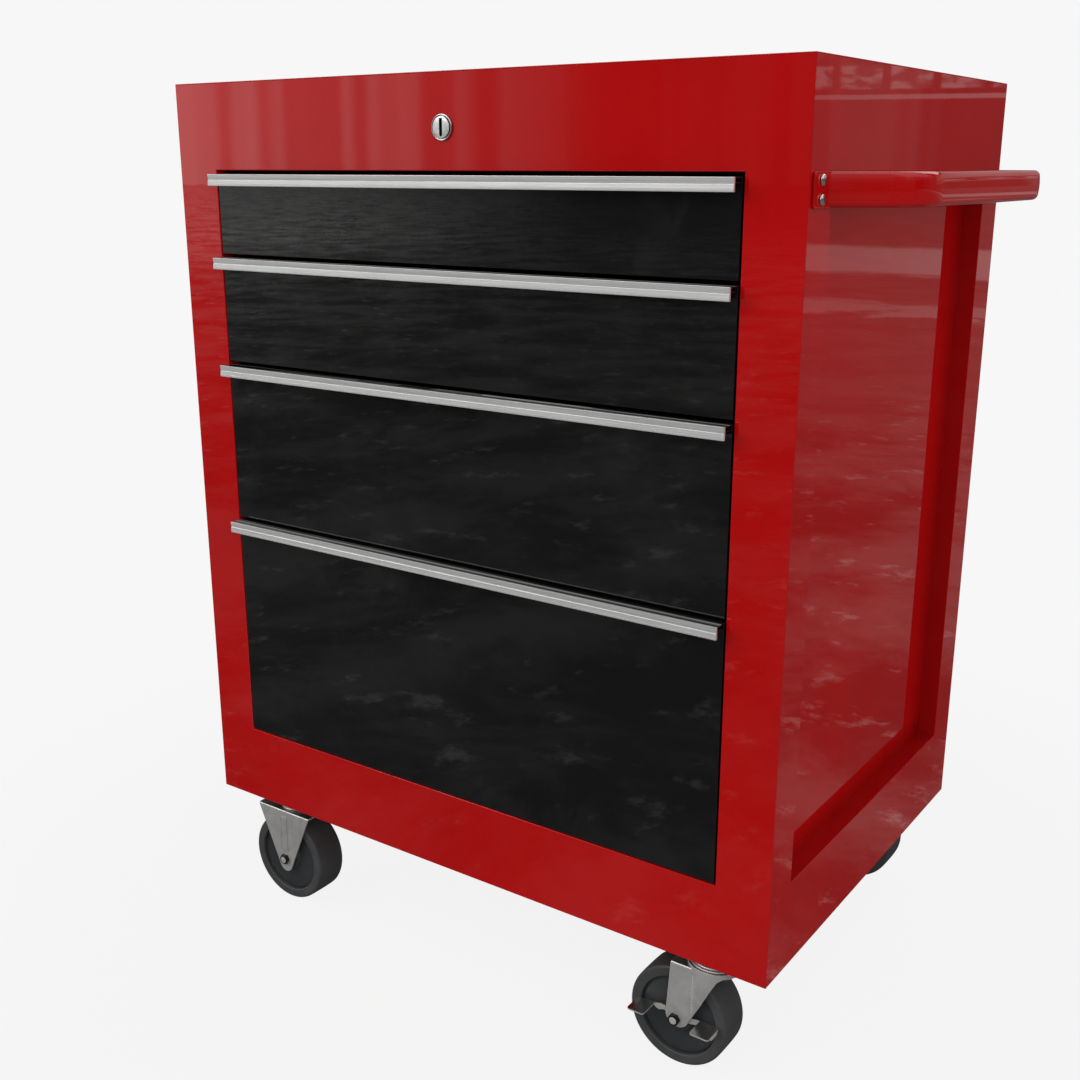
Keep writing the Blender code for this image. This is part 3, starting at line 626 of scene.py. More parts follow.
def rounded(cx, cy, half_x, half_y, radius):
    """Rectangle outline with rounded corners."""
    steps = 5
    points = []
    for sx, sy, start in ((1, 1, 0), (-1, 1, 90), (-1, -1, 180), (1, -1, 270)):
        for i in range(steps + 1):
            turn = math.radians(start + 90.0 * i / steps)
            points.append((cx + sx * (half_x - radius) + radius * math.cos(turn),
                           cy + sy * (half_y - radius) + radius * math.sin(turn)))
    return points


def arc(cx, cy, radius, start, end, steps):
    """Points on an arc; angles in degrees."""
    turns = [math.radians(start + (end - start) * i / steps) for i in range(steps + 1)]
    return [(cx + radius * math.cos(t), cy + radius * math.sin(t)) for t in turns]


def quarter(steps):
    return [math.pi / 2 * i / steps for i in range(steps + 1)]


def lerp(a, b, t):
    return a + (b - a) * t


def smooth(a, b, value):
    t = min(1.0, max(0.0, (value - a) / (b - a)))
    return t * t * (3 - 2 * t)


def mirrored(profile):
    """A half profile run back along the other side of the wheel's middle."""
    return [(radius, -along) for radius, along in reversed(profile)]


# ================================================================== body shell
RIM_Z = (761.7, 761.95)      # CAD top rim and where it is raised to


def side_panel(node, face):
    """Side panel at x = face; the walls and field of its pressing get their own paint, which
    carries painted shade.
    """
    ends_y = (1.25, 459.95)
    bm = cad_bm(node)
    snap(bm, Y, 1.5, ends_y[0])
    snap(bm, Y, 459.7, ends_y[1])
    snap(bm, Z, *RIM_Z)
    bevel(bm, opening_edge(X, face, Y, PRESSING_Y, PRESSING_Z), 0.45, 3)
    bevel(bm, border(X, face, Y, ends_y, bottom=0.0), 0.35)
    panel = add_object("cabinet_" + node, bm)

    # painted shade: field faces get the red that darkens towards the pressing's edges, wall faces
    # the darker copy
    def pick(q, normal):
        depth = abs(q.x - face)
        outward = (normal.x > 0) == (face > 1.0)
        if (17.3 < depth < 18.3 and PRESSING_Y[0] < q.y < PRESSING_Y[1]
                and PRESSING_Z[0] < q.z < PRESSING_Z[1] and outward and abs(normal.x) > 0.9):
            return 2
        return (0.6 < depth < 17.4 and abs(normal.x) < 0.3
                and PRESSING_Y[0] - 1.0 < q.y < PRESSING_Y[1] + 1.0
                and PRESSING_Z[0] - 1.0 < q.z < PRESSING_Z[1] + 1.0)
    paint(panel, (RED, RED_WALL_SHADED, RED_FIELD), pick)
    give(panel, RED, "cabinet", node)


def shell():
    bm = cad_bm("front_frame")
    snap(bm, Z, *RIM_Z)
    bevel(bm, opening_edge(Y, 0.0, X, OPENING_X, OPENING_Z), 0.9, 3)
    bevel(bm, border(Y, 0.0, X, (0.0, WIDTH), bottom=0.0), 0.55)
    give(add_object("cabinet_front_frame", bm), RED, "cabinet", "front_frame")

    side_panel("right_side_panel", WIDTH)
    side_panel("left_side_panel", 0.0)

    bm = cad_bm("back_panel")
    snap(bm, Z, *RIM_Z)
    bevel(bm, lambda a, b: True, 0.4)
    give(add_object("cabinet_back_panel", bm), RED, "cabinet", "back_panel")

    bm = cad_bm("top_panel")
    bevel(bm, lambda a, b: a.z > 761.9 and b.z > 761.9, 0.42, 3)
    give(add_object("cabinet_top_panel", bm), RED, "cabinet", "top_panel")

    bm = cad_bm("bottom_pan")
    bevel(bm, lambda a, b: a.z < 0.1 and b.z < 0.1, 0.8)
    give(add_object("cabinet_bottom_pan", bm), RED, "cabinet", "bottom_pan")


# ================================================================= push handle
HANDLE_X = 745.0                       # outer face of the grip
HANDLE_TOP, HANDLE_BOTTOM = 681.4, 655.0
HANDLE_FOOT, HANDLE_RUN = 28.6, 42.0   # y where an arm starts, and how far it runs inwards


def handle_section():
    """Channel section, open inwards: (depth from the outer face, z)."""
    top, bottom = HANDLE_TOP, HANDLE_BOTTOM
    corner, sheet_t, lip, nick = 4.2, 2.0, 14.0, 0.5
    inner = corner - sheet_t
    section = [(lip - nick, top)]
    section += [(corner - corner * math.sin(a), top - corner + corner * math.cos(a))
                for a in quarter(7)]
    section += [(0.0, top - corner - (top - bottom - 2 * corner) * i / 8.0) for i in range(1, 8)]
    section += [(corner - corner * math.cos(a), bottom + corner - corner * math.sin(a))
                for a in quarter(7)]
    section += [(lip - nick, bottom), (lip, bottom + nick),
                (lip, bottom + sheet_t - nick), (lip - nick, bottom + sheet_t)]
    section += [(sheet_t + inner - inner * math.sin(a),
                 bottom + sheet_t + inner - inner * math.cos(a)) for a in quarter(4)]
    section += [(sheet_t + inner - inner * math.cos(a),
                 top - sheet_t - inner + inner * math.sin(a)) for a in quarter(4)]
    section += [(lip - nick, top - sheet_t), (lip, top - sheet_t + nick), (lip, top - nick)]
    # the outer face is rolled slightly convex
    crown = 1.45
    middle, half = 0.5 * (top + bottom), 0.5 * (top - bottom)
    return [(d + (crown * ((z - middle) / half) ** 2 if d < corner + 0.01 else 0.0), z)
            for d, z in section]


def handle_bends(arm, front_normal, back_normal):
    """(point, outward normal) round the two bends, in plan."""
    radius, steps = 55.0, 24
    straight = Vector((1, 0))
    half_turn = 0.5 * math.acos(arm.y)
    near_corner = Vector((HANDLE_X, HANDLE_FOOT + HANDLE_RUN))
    far_corner = Vector((HANDLE_X, DEPTH - HANDLE_FOOT - HANDLE_RUN))
    stations = []
    for corner, before, after in ((near_corner, front_normal, straight),
                                  (far_corner, straight, back_normal)):
        bisector = (before + after).normalized()
        centre = corner - bisector * (radius / math.cos(half_turn))
        for i in range(steps + 1):
            t = i / steps
            turn = (math.atan2(before.y, before.x) * (1 - t)
                    + math.atan2(after.y, after.x) * t)
            normal = Vector((math.cos(turn), math.sin(turn)))
            stations.append((centre + normal * radius, normal))
    return stations


def handle():
    arm = Vector((HANDLE_X - WIDTH, HANDLE_RUN)).normalized()
    back_arm = Vector((arm.x, -arm.y))
    front_normal, back_normal = Vector((arm.y, -arm.x)), Vector((arm.y, arm.x))
    section = handle_section()
    end_x, overrun = WIDTH + 1.3, 4.0

    def end_loop(base, normal, direction):
        """Section slid along the arm on to the plane x = end_x."""
        loop = []
        for d, z in section:
            q = base - normal * d
            q = q + direction * ((end_x - q.x) / direction.x)
            loop.append(P(q.x, q.y, z))
        return loop
    loops = [end_loop(Vector((WIDTH, HANDLE_FOOT)) - arm * overrun, front_normal, arm)]
    for q, normal in handle_bends(arm, front_normal, back_normal):
        loops.append([P(q.x - normal.x * d, q.y - normal.y * d, z) for d, z in section])
    loops.append(end_loop(Vector((WIDTH, DEPTH - HANDLE_FOOT)) - back_arm * overrun,
                          back_normal, back_arm))
    ob = loft("push_handle", loops)
    feet = []
    for y0, y1 in ((4.9, 39.0), (DEPTH - 39.0, DEPTH - 4.9)):
        outline = rounded(0.5 * (y0 + y1), 0.5 * (HANDLE_TOP + HANDLE_BOTTOM), 0.5 * (y1 - y0),
                          0.5 * (HANDLE_TOP - HANDLE_BOTTOM) - 0.05, 2.2)
        feet.append(prism("foot", outline, X, WIDTH + 0.3, WIDTH + 2.3, 0.5))
    boolean(ob, feet)
    give(ob, RED, "cabinet", "side_handle", sharp=42)


# (radius, out from the foot plate)
SCREW = ((2.2, -6.0), (2.2, 0.0), (4.25, 0.0), (4.4, 0.25), (4.35, 0.9), (3.95, 1.5),
         (3.2, 1.95), (2.1, 2.3), (0.9, 2.42))


def handle_screws():
    """Four domed screws with a cross cut in the head."""
    seat_x = WIDTH + 2.6
    long, thin = 2.3, 0.42      # half length and half width of a cross arm
    places = [(y, z) for y in (17.6, DEPTH - 17.6) for z in (675.2, 661.0)]
    for i, (y, z) in enumerate(places, 1):
        screw = lathe("handle_screw_visual_%d" % i, SCREW, (seat_x, y, z), X, 40, closed=False)
        boolean(screw, [block("cross", seat_x + 1.1, seat_x + 6, y - dy, y + dy, z - dz, z + dz)
                        for dy, dz in ((long, thin), (thin, long))], "DIFFERENCE")
        give(screw, CHROME, "cabinet", "handle_screw_%d" % i, sharp=50, weighted=False)


# ======================================================================== lock
LOCK = (WIDTH / 2, 0.0, 717.0)
# (radius, y)
BEZEL = ((8.3, 20.0), (9.4, 20.0), (9.4, -0.3), (10.7, -0.3), (11.05, -0.45), (11.2, -0.8),
         (11.15, -1.5), (10.95, -1.95), (10.6, -2.2), (10.25, -2.15), (10.05, -1.9),
         (9.95, -1.3), (9.9, -0.9), (8.3, -0.9))
PLUG = ((4.0, 24.6), (4.0, 20.6), (7.9, 20.6), (7.9, -1.2), (9.05, -1.2), (9.2, -1.4),
        (9.2, -2.35), (9.1, -2.65), (8.75, -2.85), (4.0, -2.92))


def lock():
    lock_x, _, lock_z = LOCK

    def radius(q):
        return math.hypot(q.x - lock_x, q.z - lock_z)
    bezel = lathe("lock_bezel", BEZEL, LOCK, Y)
    # painted shadow: the bezel's outer foot against the frame is near-black
    paint(bezel, (CHROME, SHADE_BLACK), lambda q, normal: radius(q) > 10.8 and q.y > -0.85)
    give(bezel, CHROME, "cabinet", "lock_body", sharp=60, weighted=False)

    plug = lathe("lock_plug_visual", PLUG, LOCK, Y, closed=False)
    half, top, foot = 1.6, lock_z + 7.2, lock_z - 6.0
    keyway = [(lock_x - half, top), (lock_x - half, foot)]
    keyway += arc(lock_x, foot, half, 180, 360, 8)
    keyway += [(lock_x + half, top), (lock_x + 1.1, lock_z + 7.5), (lock_x - 1.1, lock_z + 7.5)]
    boolean(plug, [prism("keyway", keyway, Y, -8, 14)], "DIFFERENCE")

    # painted shade: the keyway walls and the side of the plug's rim are near-black
    def pick(q, normal):
        keyway_wall = (abs(q.x - lock_x) < 1.75 and -7.7 < q.z - lock_z < 7.6
                       and (abs(normal.y) < 0.5 or q.y > 5.0) and q.y < 15)
        rim = radius(q) > 9.1 and q.y < 0.0 and abs(normal.y) < 0.5
        return keyway_wall or rim
    paint(plug, (LOCK_FACE, SHADE_BLACK), pick)
    give(plug, LOCK_FACE, "lock_core", "lock_plug", sharp=40, weighted=False)


# ===================================================================== drawers
PULL_FRONT, PULL_BACK, PULL_HEIGHT = -14.0, -11.7, 11.0


def pull_section(top):
    """Section (y, z) of the extruded pull; its upper front is a shallow scoop over a groove."""
    front, back, bottom = PULL_FRONT, PULL_BACK, top - PULL_HEIGHT
    section = [(back, bottom + 0.2), (back, top - 0.2), (back - 0.2, top), (front + 0.45, top),
               (front + 0.2, top - 0.12), (front + 0.12, top - 0.35), (front + 0.16, top - 0.62)]
    for i in range(9):
        t = i / 8.0
        section.append((front + 0.24 + 0.62 * t - 0.10 * math.sin(math.pi * t),
                        top - 0.8 - 4.3 * t))
    return section + [
        (front + 0.86, top - 5.3), (front + 0.34, top - 5.5), (front + 0.30, top - 6.1),
        (front + 0.22, top - 7.0), (front + 0.10, bottom + 2.25), (front + 0.55, bottom + 2.0),
        (front + 0.55, bottom + 1.8), (front + 0.04, bottom + 1.55), (front, bottom + 0.4),
        (front + 0.12, bottom + 0.1), (front + 0.4, bottom), (back - 0.2, bottom)]


def drawer_pull(name, top):
    section = pull_section(top)
    middle_y, middle_z = 0.5 * (PULL_FRONT + PULL_BACK), top - PULL_HEIGHT / 2
    left, right = DRAWER_X
    start, end = left + 0.15, right - 0.15      # the ends are chamfered from here
    stations = [left, start] + [start + (end - start) * i / 12.0 for i in range(1, 12)]
    stations += [end, right]
    loops = []
    for x in stations:
        inset = 0.12 if x in DRAWER_X else 0.0
        loop = []
        for y, z in section:
            dy, dz = y - middle_y, z - middle_z
            length = math.hypot(dy, dz)
            loop.append(P(x, y - dy / length * inset, z - dz / length * inset))
        loops.append(loop)
    return loft(name, loops)


def drawers():
    for k, (bottom, top) in enumerate(DRAWERS, 1):
        body = "drawer_%d" % k
        bm = cad_bm(body + "_box")
        bevel(bm, border(Y, 0.0, X, DRAWER_X, bottom), 0.48)
        give(add_object(body + "_body", bm), BLACK, body, body + "_box")
        pull = drawer_pull(body + "_handle_strip", top - 0.1)
        give(pull, ALU, body, body + "_pull", sharp=30)


# ============================================================== caster wheels
def wheel(tag, x, row_y, body):
    centre = (x, row_y + FORK_MID, AXLE_Z)
    side = 18.6      # half width of the tyre
    tyre = [(39.1, 13.4), (39.1, side - 2.6)]
    tyre += [(40.9 - 1.8 * math.cos(math.radians(a)),
              side - 1.6 + 1.6 * math.sin(math.radians(a))) for a in range(0, 91, 15)]
    tyre += [(46.6, side)]
    tyre += [(46.7 + 3.0 * math.sin(math.radians(a)),
              side - 3.1 + 3.1 * math.cos(math.radians(a))) for a in range(8, 91, 9)]
    tyre += [(49.86, side - 6.5), (49.95, side - 11.0)]
    profile = tyre + [(50.0, 0.0)] + mirrored(tyre)
    give(lathe(tag + "_tyre_visual", profile, centre, Y, 128), RUBBER, body, tag + "_tyre",
         sharp=50, weighted=False)
    # (radius, from the wheel's middle)
    hub = [(38.8, 14.4), (38.5, 14.6), (36.0, 14.7), (17.5, 14.6), (16.6, 14.8), (15.9, 15.6),
           (15.2, 17.2), (14.6, 17.9), (13.8, 18.2), (5.2, 18.2)]
    give(lathe(tag + "_hub_visual", hub + mirrored(hub), centre, Y, 128), HUB, body,
         tag + "_hub", sharp=60, weighted=False)


def hexagon_head(name, x, base_y, tip_y):
    """Hexagonal axle head with a turned chamfer."""
    outward = 1.0 if tip_y > base_y else -1.0
    n, sixth = 48, math.pi / 3
    flat = 6.0 * math.cos(math.pi / 6)      # half the width across the flats
    angles = [2 * math.pi * i / n for i in range(n)]
    reach = [flat / math.cos(a - sixth * (int(a // sixth) + 0.5)) for a in angles]
    rings = (      # (radius, y)
        [(r, base_y) for r in reach],
        [(r, tip_y - outward * (0.25 + (r - flat) * 0.75 + 0.1)) for r in reach],
        [(flat * 0.93, tip_y - outward * 0.30)] * n,
        [(flat * 0.70, tip_y)] * n)
    return loft(name, [[P(x + r * math.cos(a), y, AXLE_Z + r * math.sin(a))
                        for a, (r, y) in zip(angles, ring)] for ring in rings])


def axle(tag, x, row_y, cheek_y, body):
    """Pin through both cheeks; its ends are bright, the sides of its heads painted near-black as
    painted shade.
    """
    front, back = row_y + cheek_y, row_y + FORK_SPAN - cheek_y
    ob = lathe(tag + "_axle_visual", [(4.5, front - 2.0), (4.5, back + 2.0)], (x, 0, AXLE_Z),
               Y, 40, closed=False)
    boolean(ob, [hexagon_head("front_head", x, front - 0.15, front - 4.0),
                 hexagon_head("back_head", x, back + 0.15, back + 4.0)])
    # painted shade: the sides of the heads are near-black
    paint(ob, (STEEL, HEAD_SIDE_SHADE),
          lambda q, normal: (math.hypot(q.x - x, q.z - AXLE_Z) > 3.75
                             and (q.y < front - 0.1 or q.y > back + 0.1)))
    give(ob, STEEL, body, tag + "_axle", sharp=40, weighted=False)


def rivets(x, y, dx, dy, profile):
    """Four rivet heads under the corners of a mounting plate."""
    return [lathe("rivet", profile, (x + sx, y + sy, 0), Z, 24, closed=False)
            for sx in (-dx, dx) for sy in (-dy, dy)]


# ================================================================= rigid forks
# z stations up a cheek, above its rounded tip
RIGID_Z = (-74.0, -70.0, -66.0, -62.0, -59.4, -58.6, -58.2, -57.8, -57.2, -56.0, -50.0, -44.0,
           -38.0, -32.0, -26.0, -20.0, -17.4, -16.2, -15.8, -15.4, -15.0, -14.7, -13.0)
RIB_X = (5.6, 5.15, 4.85, 4.55, 4.25, 3.95, 2.8, 1.4)     # grid lines beside the centre rib
# (radius, z)
RIGID_NECK = ((10.0, -8.9), (17.4, -8.9), (17.2, -8.0), (16.6, -7.2), (16.6, -4.0),
              (17.0, -3.2), (18.5, -2.6), (10.0, -2.6))
RIGID_RIVET = ((4.2, -2.9), (4.2, -3.2), (3.9, -4.3), (3.0, -5.1), (1.6, -5.5))


def rigid_stations():
    """(y, z, normal y, normal z, half width, rib height) from one tip over to the other."""
    top_z, tip_z, tip_r, top_half, end_half = -8.3, -74.6, 8.9, 38.4, 1.1
    bend = FORK_BEND
    # the cheek's slanting edge is a tangent to the round tip
    rise = top_z - tip_z
    touch = math.atan2(rise, top_half) - math.acos(tip_r / math.hypot(top_half, rise))
    touch_x, touch_z = tip_r * math.cos(touch), tip_z + tip_r * math.sin(touch)

    def half_width(z):
        if z >= touch_z:
            return touch_x + (z - touch_z) * (top_half - touch_x) / (top_z - touch_z)
        return max(end_half, math.sqrt(max(0.0, tip_r * tip_r - (z - tip_z) ** 2)))
    heights = [tip_z - math.sqrt(tip_r * tip_r - end_half ** 2)]
    heights += [tip_z - tip_r * math.cos(math.radians(a)) for a in (14, 22, 31, 41, 52, 62)]
    heights += [touch_z, *RIGID_Z, top_z - bend]
    rows = []
    for z in heights:
        rib = smooth(-58.9, -57.7, z) * (1 - smooth(-17.4, -14.6, z))
        rows.append((RIGID_CHEEK_Y, z, -1.0, 0.0, half_width(z), rib))
    for i in range(1, 8):
        a = math.radians(90.0 * i / 7)
        rows.append((RIGID_CHEEK_Y + bend - bend * math.cos(a), top_z - bend + bend * math.sin(a),
                     -math.cos(a), math.sin(a),
                     lerp(half_width(top_z - bend), top_half, i / 7.0), 0.0))
    return rows + [(FORK_SPAN - y, z, -ny, nz, half, rib)
                   for y, z, ny, nz, half, rib in reversed(rows)]


def rigid_fork(tag, x, row_y):
    """Fixed fork: two tapering cheeks with a raised rib, joined over the top."""
    mid_y = row_y + FORK_MID
    zone = RIB_X[0]
    front, back = [], []
    for y, z, ny, nz, half, rib in rigid_stations():
        squeeze = min(1.0, 0.72 * half / zone)
        columns = [-half + (half - zone * squeeze) * i / 6.0 for i in range(6)]
        columns += [-q * squeeze for q in RIB_X]
        columns += [0.0] + [-q for q in reversed(columns)]
        front_row, back_row = [], []
        for q in columns:
            lift = 0.0
            if squeeze >= 1.0:      # rib raised, with a shallow groove on either side
                groove = 0.55 if 4.2 < abs(q) < 4.9 else 0.0
                lift = rib * (0.7 * (1 - smooth(3.95, 4.25, abs(q))) - groove)
            yy, zz = y + ny * lift, z + nz * lift
            front_row.append((x + q, row_y + yy, zz))
            back_row.append((x + q, row_y + yy - ny * FORK_SHEET, zz - nz * FORK_SHEET))
        front.append(front_row)
        back.append(back_row)
    fork = sheet(tag + "_fork_visual", front, back)
    neck = lathe("neck", RIGID_NECK, (x, mid_y, 0), Z, 64)
    plate = prism("plate", rounded(x, mid_y, 48.0, 20.5, 4.0), Z, -3.0, -0.3, 0.35)
    boolean(fork, [neck, plate] + rivets(x, mid_y, 36.0, 12.5, RIGID_RIVET))
    give(fork, ZINC, "cabinet", tag + "_fork", sharp=36)


# ================================================================ swivel forks
CUP_R = 26.3                            # the cheek wraps round the swivel cup
CREASE_X = 608.0
TIP_X, TIP_Z, TIP_R = 593.4, -63.7, 12.0   # rounded foot of the cheek
SWIVEL_TOP = -9.4
# (x, z) up the right edge of the cheek
RIGHT_EDGE = ((605.2, -66.0), (606.6, -63.2), (608.6, -60.0), (614.7, -48.4), (620.4, -37.3),
              (626.0, -26.3), (629.6, -19.4), (632.1, -14.6), (634.6, -12.2), (638.6, -10.4),
              (642.8, SWIVEL_TOP))
# z stations up the cheek, above its rounded foot
SWIVEL_Z = (-60.0, -56.0, -52.0, -48.0, -44.0, -40.0, -36.0, -32.0, -28.0, -24.0, -20.0, -17.5,
            -15.5, -14.0, -13.0)
# (radius, z)
CUP = ((6.4, -11.8), (25.2, -11.8), (26.0, -11.4), (CUP_R, -10.6), (CUP_R, -7.4), (26.0, -6.6),
       (25.4, -6.2), (24.7, -6.2), (24.2, -6.0), (24.0, -5.5), (23.7, -5.0), (23.2, -4.9),
       (18.0, -4.9), (17.2, -5.1), (17.0, -5.6), (17.0, -8.6), (6.4, -8.6))
PLATE_RING = ((12.0, -2.6), (21.5, -2.6), (22.6, -2.9), (23.0, -3.4), (23.0, -4.2),
              (22.6, -4.6), (12.0, -4.6))
KINGPIN = ((6.0, -3.0), (6.0, -12.0), (10.0, -12.0), (10.2, -12.4), (9.6, -13.6), (8.0, -14.4),
           (5.0, -14.7))
PLATE_COLLAR = ((13.0, -4.4), (13.0, -2.7), (5.5, -2.7), (5.5, -4.4))
SWIVEL_RIVET = ((4.2, -2.7), (4.2, -3.0), (3.9, -3.9), (3.0, -4.5), (1.6, -4.8))


def foot_half(z):
    return math.sqrt(max(1.2, TIP_R * TIP_R - (z - TIP_Z) ** 2))


def right_edge(z):
    if z <= RIGHT_EDGE[0][1]:
        return TIP_X + foot_half(z)
    for (xa, za), (xb, zb) in zip(RIGHT_EDGE, RIGHT_EDGE[1:]):
        if z <= zb:
            return lerp(xa, xb, (z - za) / (zb - za))
    return RIGHT_EDGE[-1][0]


def left_edge(z):
    if z <= TIP_Z:
        return TIP_X - foot_half(z)
    return lerp(TIP_X - TIP_R, 585.2, min(1.0, (z - TIP_Z) / 54.0))


def swivel_row(z, fold):
    """Outer and inner points across the front cheek at z; fold is its bend over the top.

    Left of the crease the cheek is flat; right of it, it curves round the cup as it rises.
    """
    left, right = left_edge(z), right_edge(z)
    crease = min(CREASE_X, max(lerp(left, right, 0.68), right - 2.5))
    before, after = min(0.55, (crease - left) / 16.0), min(0.6, (right - crease) / 15.0)
    wrap = smooth(-47.0, -17.0, z)
    columns = [left + (crease - left) * i / 7.0 for i in range(7)]
    columns += [crease - before, crease, crease + after]
    columns += [lerp(crease + after, right, i / 13.0) for i in range(1, 14)]
    outer, inner = [], []
    for x in columns:
        k = wrap * smooth(0.0, 1.2, x - crease)
        on_cup = min(x, SWIVEL_X + CUP_R - 0.05)
        cup_y = FORK_MID - math.sqrt(max(0.0, CUP_R * CUP_R - (on_cup - SWIVEL_X) ** 2))
        y = lerp(SWIVEL_CHEEK_Y, cup_y, k)
        if abs(x - crease) < 1e-6:      # the crease stands slightly proud
            y -= 0.27 * smooth(-60.0, -55.0, z) * (1 - smooth(-18.0, -14.0, z))
        nx, ny = 0.0, -1.0
        if x > crease:
            nx, ny = (x - SWIVEL_X) / CUP_R * k, lerp(-1.0, (y - FORK_MID) / CUP_R, k)
        length = math.hypot(nx, ny)
        nx, ny = nx / length, ny / length
        inset = FORK_BEND * (1 - math.cos(fold))
        px, py = x - nx * inset, y - ny * inset
        ox, oy, oz = nx * math.cos(fold), ny * math.cos(fold), math.sin(fold)
        outer.append((px, py, z))
        inner.append((px - ox * FORK_SHEET, py - oy * FORK_SHEET, z - oz * FORK_SHEET))
    return outer, inner


def swivel_cheek():
    """Outer and inner grids of the front cheek, with y from the row."""
    heights = [TIP_Z - math.sqrt(TIP_R * TIP_R - 1.2)]
    heights += [TIP_Z - TIP_R * math.cos(math.radians(a)) for a in (12, 20, 29, 39, 50, 62, 76)]
    heights += [TIP_Z, *SWIVEL_Z, SWIVEL_TOP - FORK_BEND]
    stations = [(z, 0.0) for z in heights]
    for i in range(1, 7):
        fold = math.radians(90.0 * i / 6)
        stations.append((SWIVEL_TOP - FORK_BEND + FORK_BEND * math.sin(fold), fold))
    outer, inner = [list(grid) for grid in zip(*(swivel_row(*s) for s in stations))]
    # straight run over the top towards the middle
    for grid in (outer, inner):
        last = grid[-1]
        grid += [[(x, y + step, z) for x, y, z in last] for step in (2.0, 6.0)]
    return outer, inner


def swivel_fork(tag, row_y, body):
    centre = (SWIVEL_X, row_y + FORK_MID, 0)
    grids = swivel_cheek()

    def cheek(name, place):
        return sheet(name, *([[(x, place(y), z) for x, y, z in row] for row in grid]
                             for grid in grids))
    fork = cheek(tag + "_fork_visual", lambda y: row_y + y)
    far_cheek = cheek("far_cheek", lambda y: row_y + FORK_SPAN - y)
    cup = lathe("cup", CUP, centre, Z)
    web = block("web", 585.5, 606.0, row_y + 5.0, row_y + 46.0, -11.6, -9.42, 0.2)
    boolean(fork, [far_cheek, cup, web])
    tidy(fork)
    # painted highlight: the faces along the crease get the brighter steel
    paint(fork, (ZINC, STEEL), lambda q, normal: (
        abs(q.x - CREASE_X) < 0.62 and -57.0 < q.z < -15.5 and abs(normal.y) > 0.3))
    give(fork, ZINC, body, tag + "_fork", sharp=34)


def swivel_plate(tag, row_y):
    """Mounting plate with its ring, kingpin, collar and rivets."""
    centre = (SWIVEL_X, row_y + FORK_MID, 0)
    plate = prism(tag + "_plate_visual", rounded(SWIVEL_X, centre[1], 48.0, 20.5, 4.0), Z,
                  -2.8, -0.3, 0.35)
    extras = [lathe("ring", PLATE_RING, centre, Z),
              lathe("kingpin", KINGPIN, centre, Z, 48, closed=False),
              lathe("collar", PLATE_COLLAR, centre, Z, 48)]
    boolean(plate, extras + rivets(SWIVEL_X, centre[1], 37.0, 13.0, SWIVEL_RIVET))
    tidy(plate)
    give(plate, ZINC, "cabinet", tag + "_plate", sharp=36)


# ====================================================================== brakes
# (x, z) runs of the arm's outline between its arcs round the axle
ARM_LOWER_LEFT = [(566.0, -62.3), (566.0, -63.5), (570.0, -66.4), (573.4, -67.0),
                  (577.0, -65.6), (580.0, -65.4), (583.0, -67.2)]
ARM_RIGHT = [(602.0, -70.0), (607.0, -69.0), (613.6, -67.6), (615.4, -66.2), (617.4, -63.9),
             (617.4, -62.2), (612.0, -62.2), (606.0, -63.2), (601.0, -63.6)]
ARM_UPPER_LEFT = [(582.6, -61.4), (579.0, -60.2), (575.4, -60.0), (571.6, -60.8),
                  (568.6, -61.9)]
LEFT_PAD, RIGHT_PAD = (550.5, 568.2), (615.6, 635.0)      # x ranges


def brake(tag, x, row_y, body):
    """Arm inside the front cheek with a foot pad at either end."""
    eye, lip = 8.6, 1.4      # radius round the axle, thickness of a pad's lip
    outline = (ARM_LOWER_LEFT + arc(x, AXLE_Z, eye, 205, 330, 12) + ARM_RIGHT
               + arc(x, AXLE_Z, eye, 42, 138, 10) + ARM_UPPER_LEFT)
    ob = prism(tag + "_brake_visual", outline, Y, row_y + 5.0, row_y + 6.7, 0.3)
    bottom, top = -63.5, -62.0
    mid_y, half_y = row_y - 5.0, 11.0
    # flat tongues reaching forward of the arm, with turned-down outer lips
    for x0, x1 in (LEFT_PAD, RIGHT_PAD):
        pad = prism("pad", rounded(0.5 * (x0 + x1), mid_y, 0.5 * (x1 - x0), half_y, 2.6), Z,
                    bottom, top, 0.35)
        lip_x = (x1 - lip, x1)
        if (x0, x1) == LEFT_PAD:      # shallow step along the outer edge, its top given a brighter zinc as painted highlight
            boolean(pad, [block("edge_step", x0 - 1.0, x0 + 5.0, mid_y - half_y - 1,
                                mid_y + half_y + 1, top - 0.05, top + 0.5)], "DIFFERENCE")
            lip_x = (x0, x0 + lip)
        boolean(ob, [pad, block("lip", *lip_x, row_y - 9.0, row_y + 2.5, -66.6, bottom + 0.3,
                                0.35)])
    hole = prism("hole", arc(x, AXLE_Z, 5.05, 0, 350, 35), Y, row_y, row_y + 12)
    boolean(ob, [hole], "DIFFERENCE")
    tidy(ob)

    # painted shade and highlight: the pads' top faces get the darker zinc, the left pad's outer
    # edge the brighter one
    def pick(q, normal):
        if abs(normal.z) > 0.75 and q.y < row_y + 5.2:
            return 2 if q.x < 555.6 else 1
        return 0
    paint(ob, (BRAKE, PAD_TOP_SHADED, PAD_TIP_HIGHLIGHT), pick)
    give(ob, BRAKE, body, tag + "_brake", sharp=40)


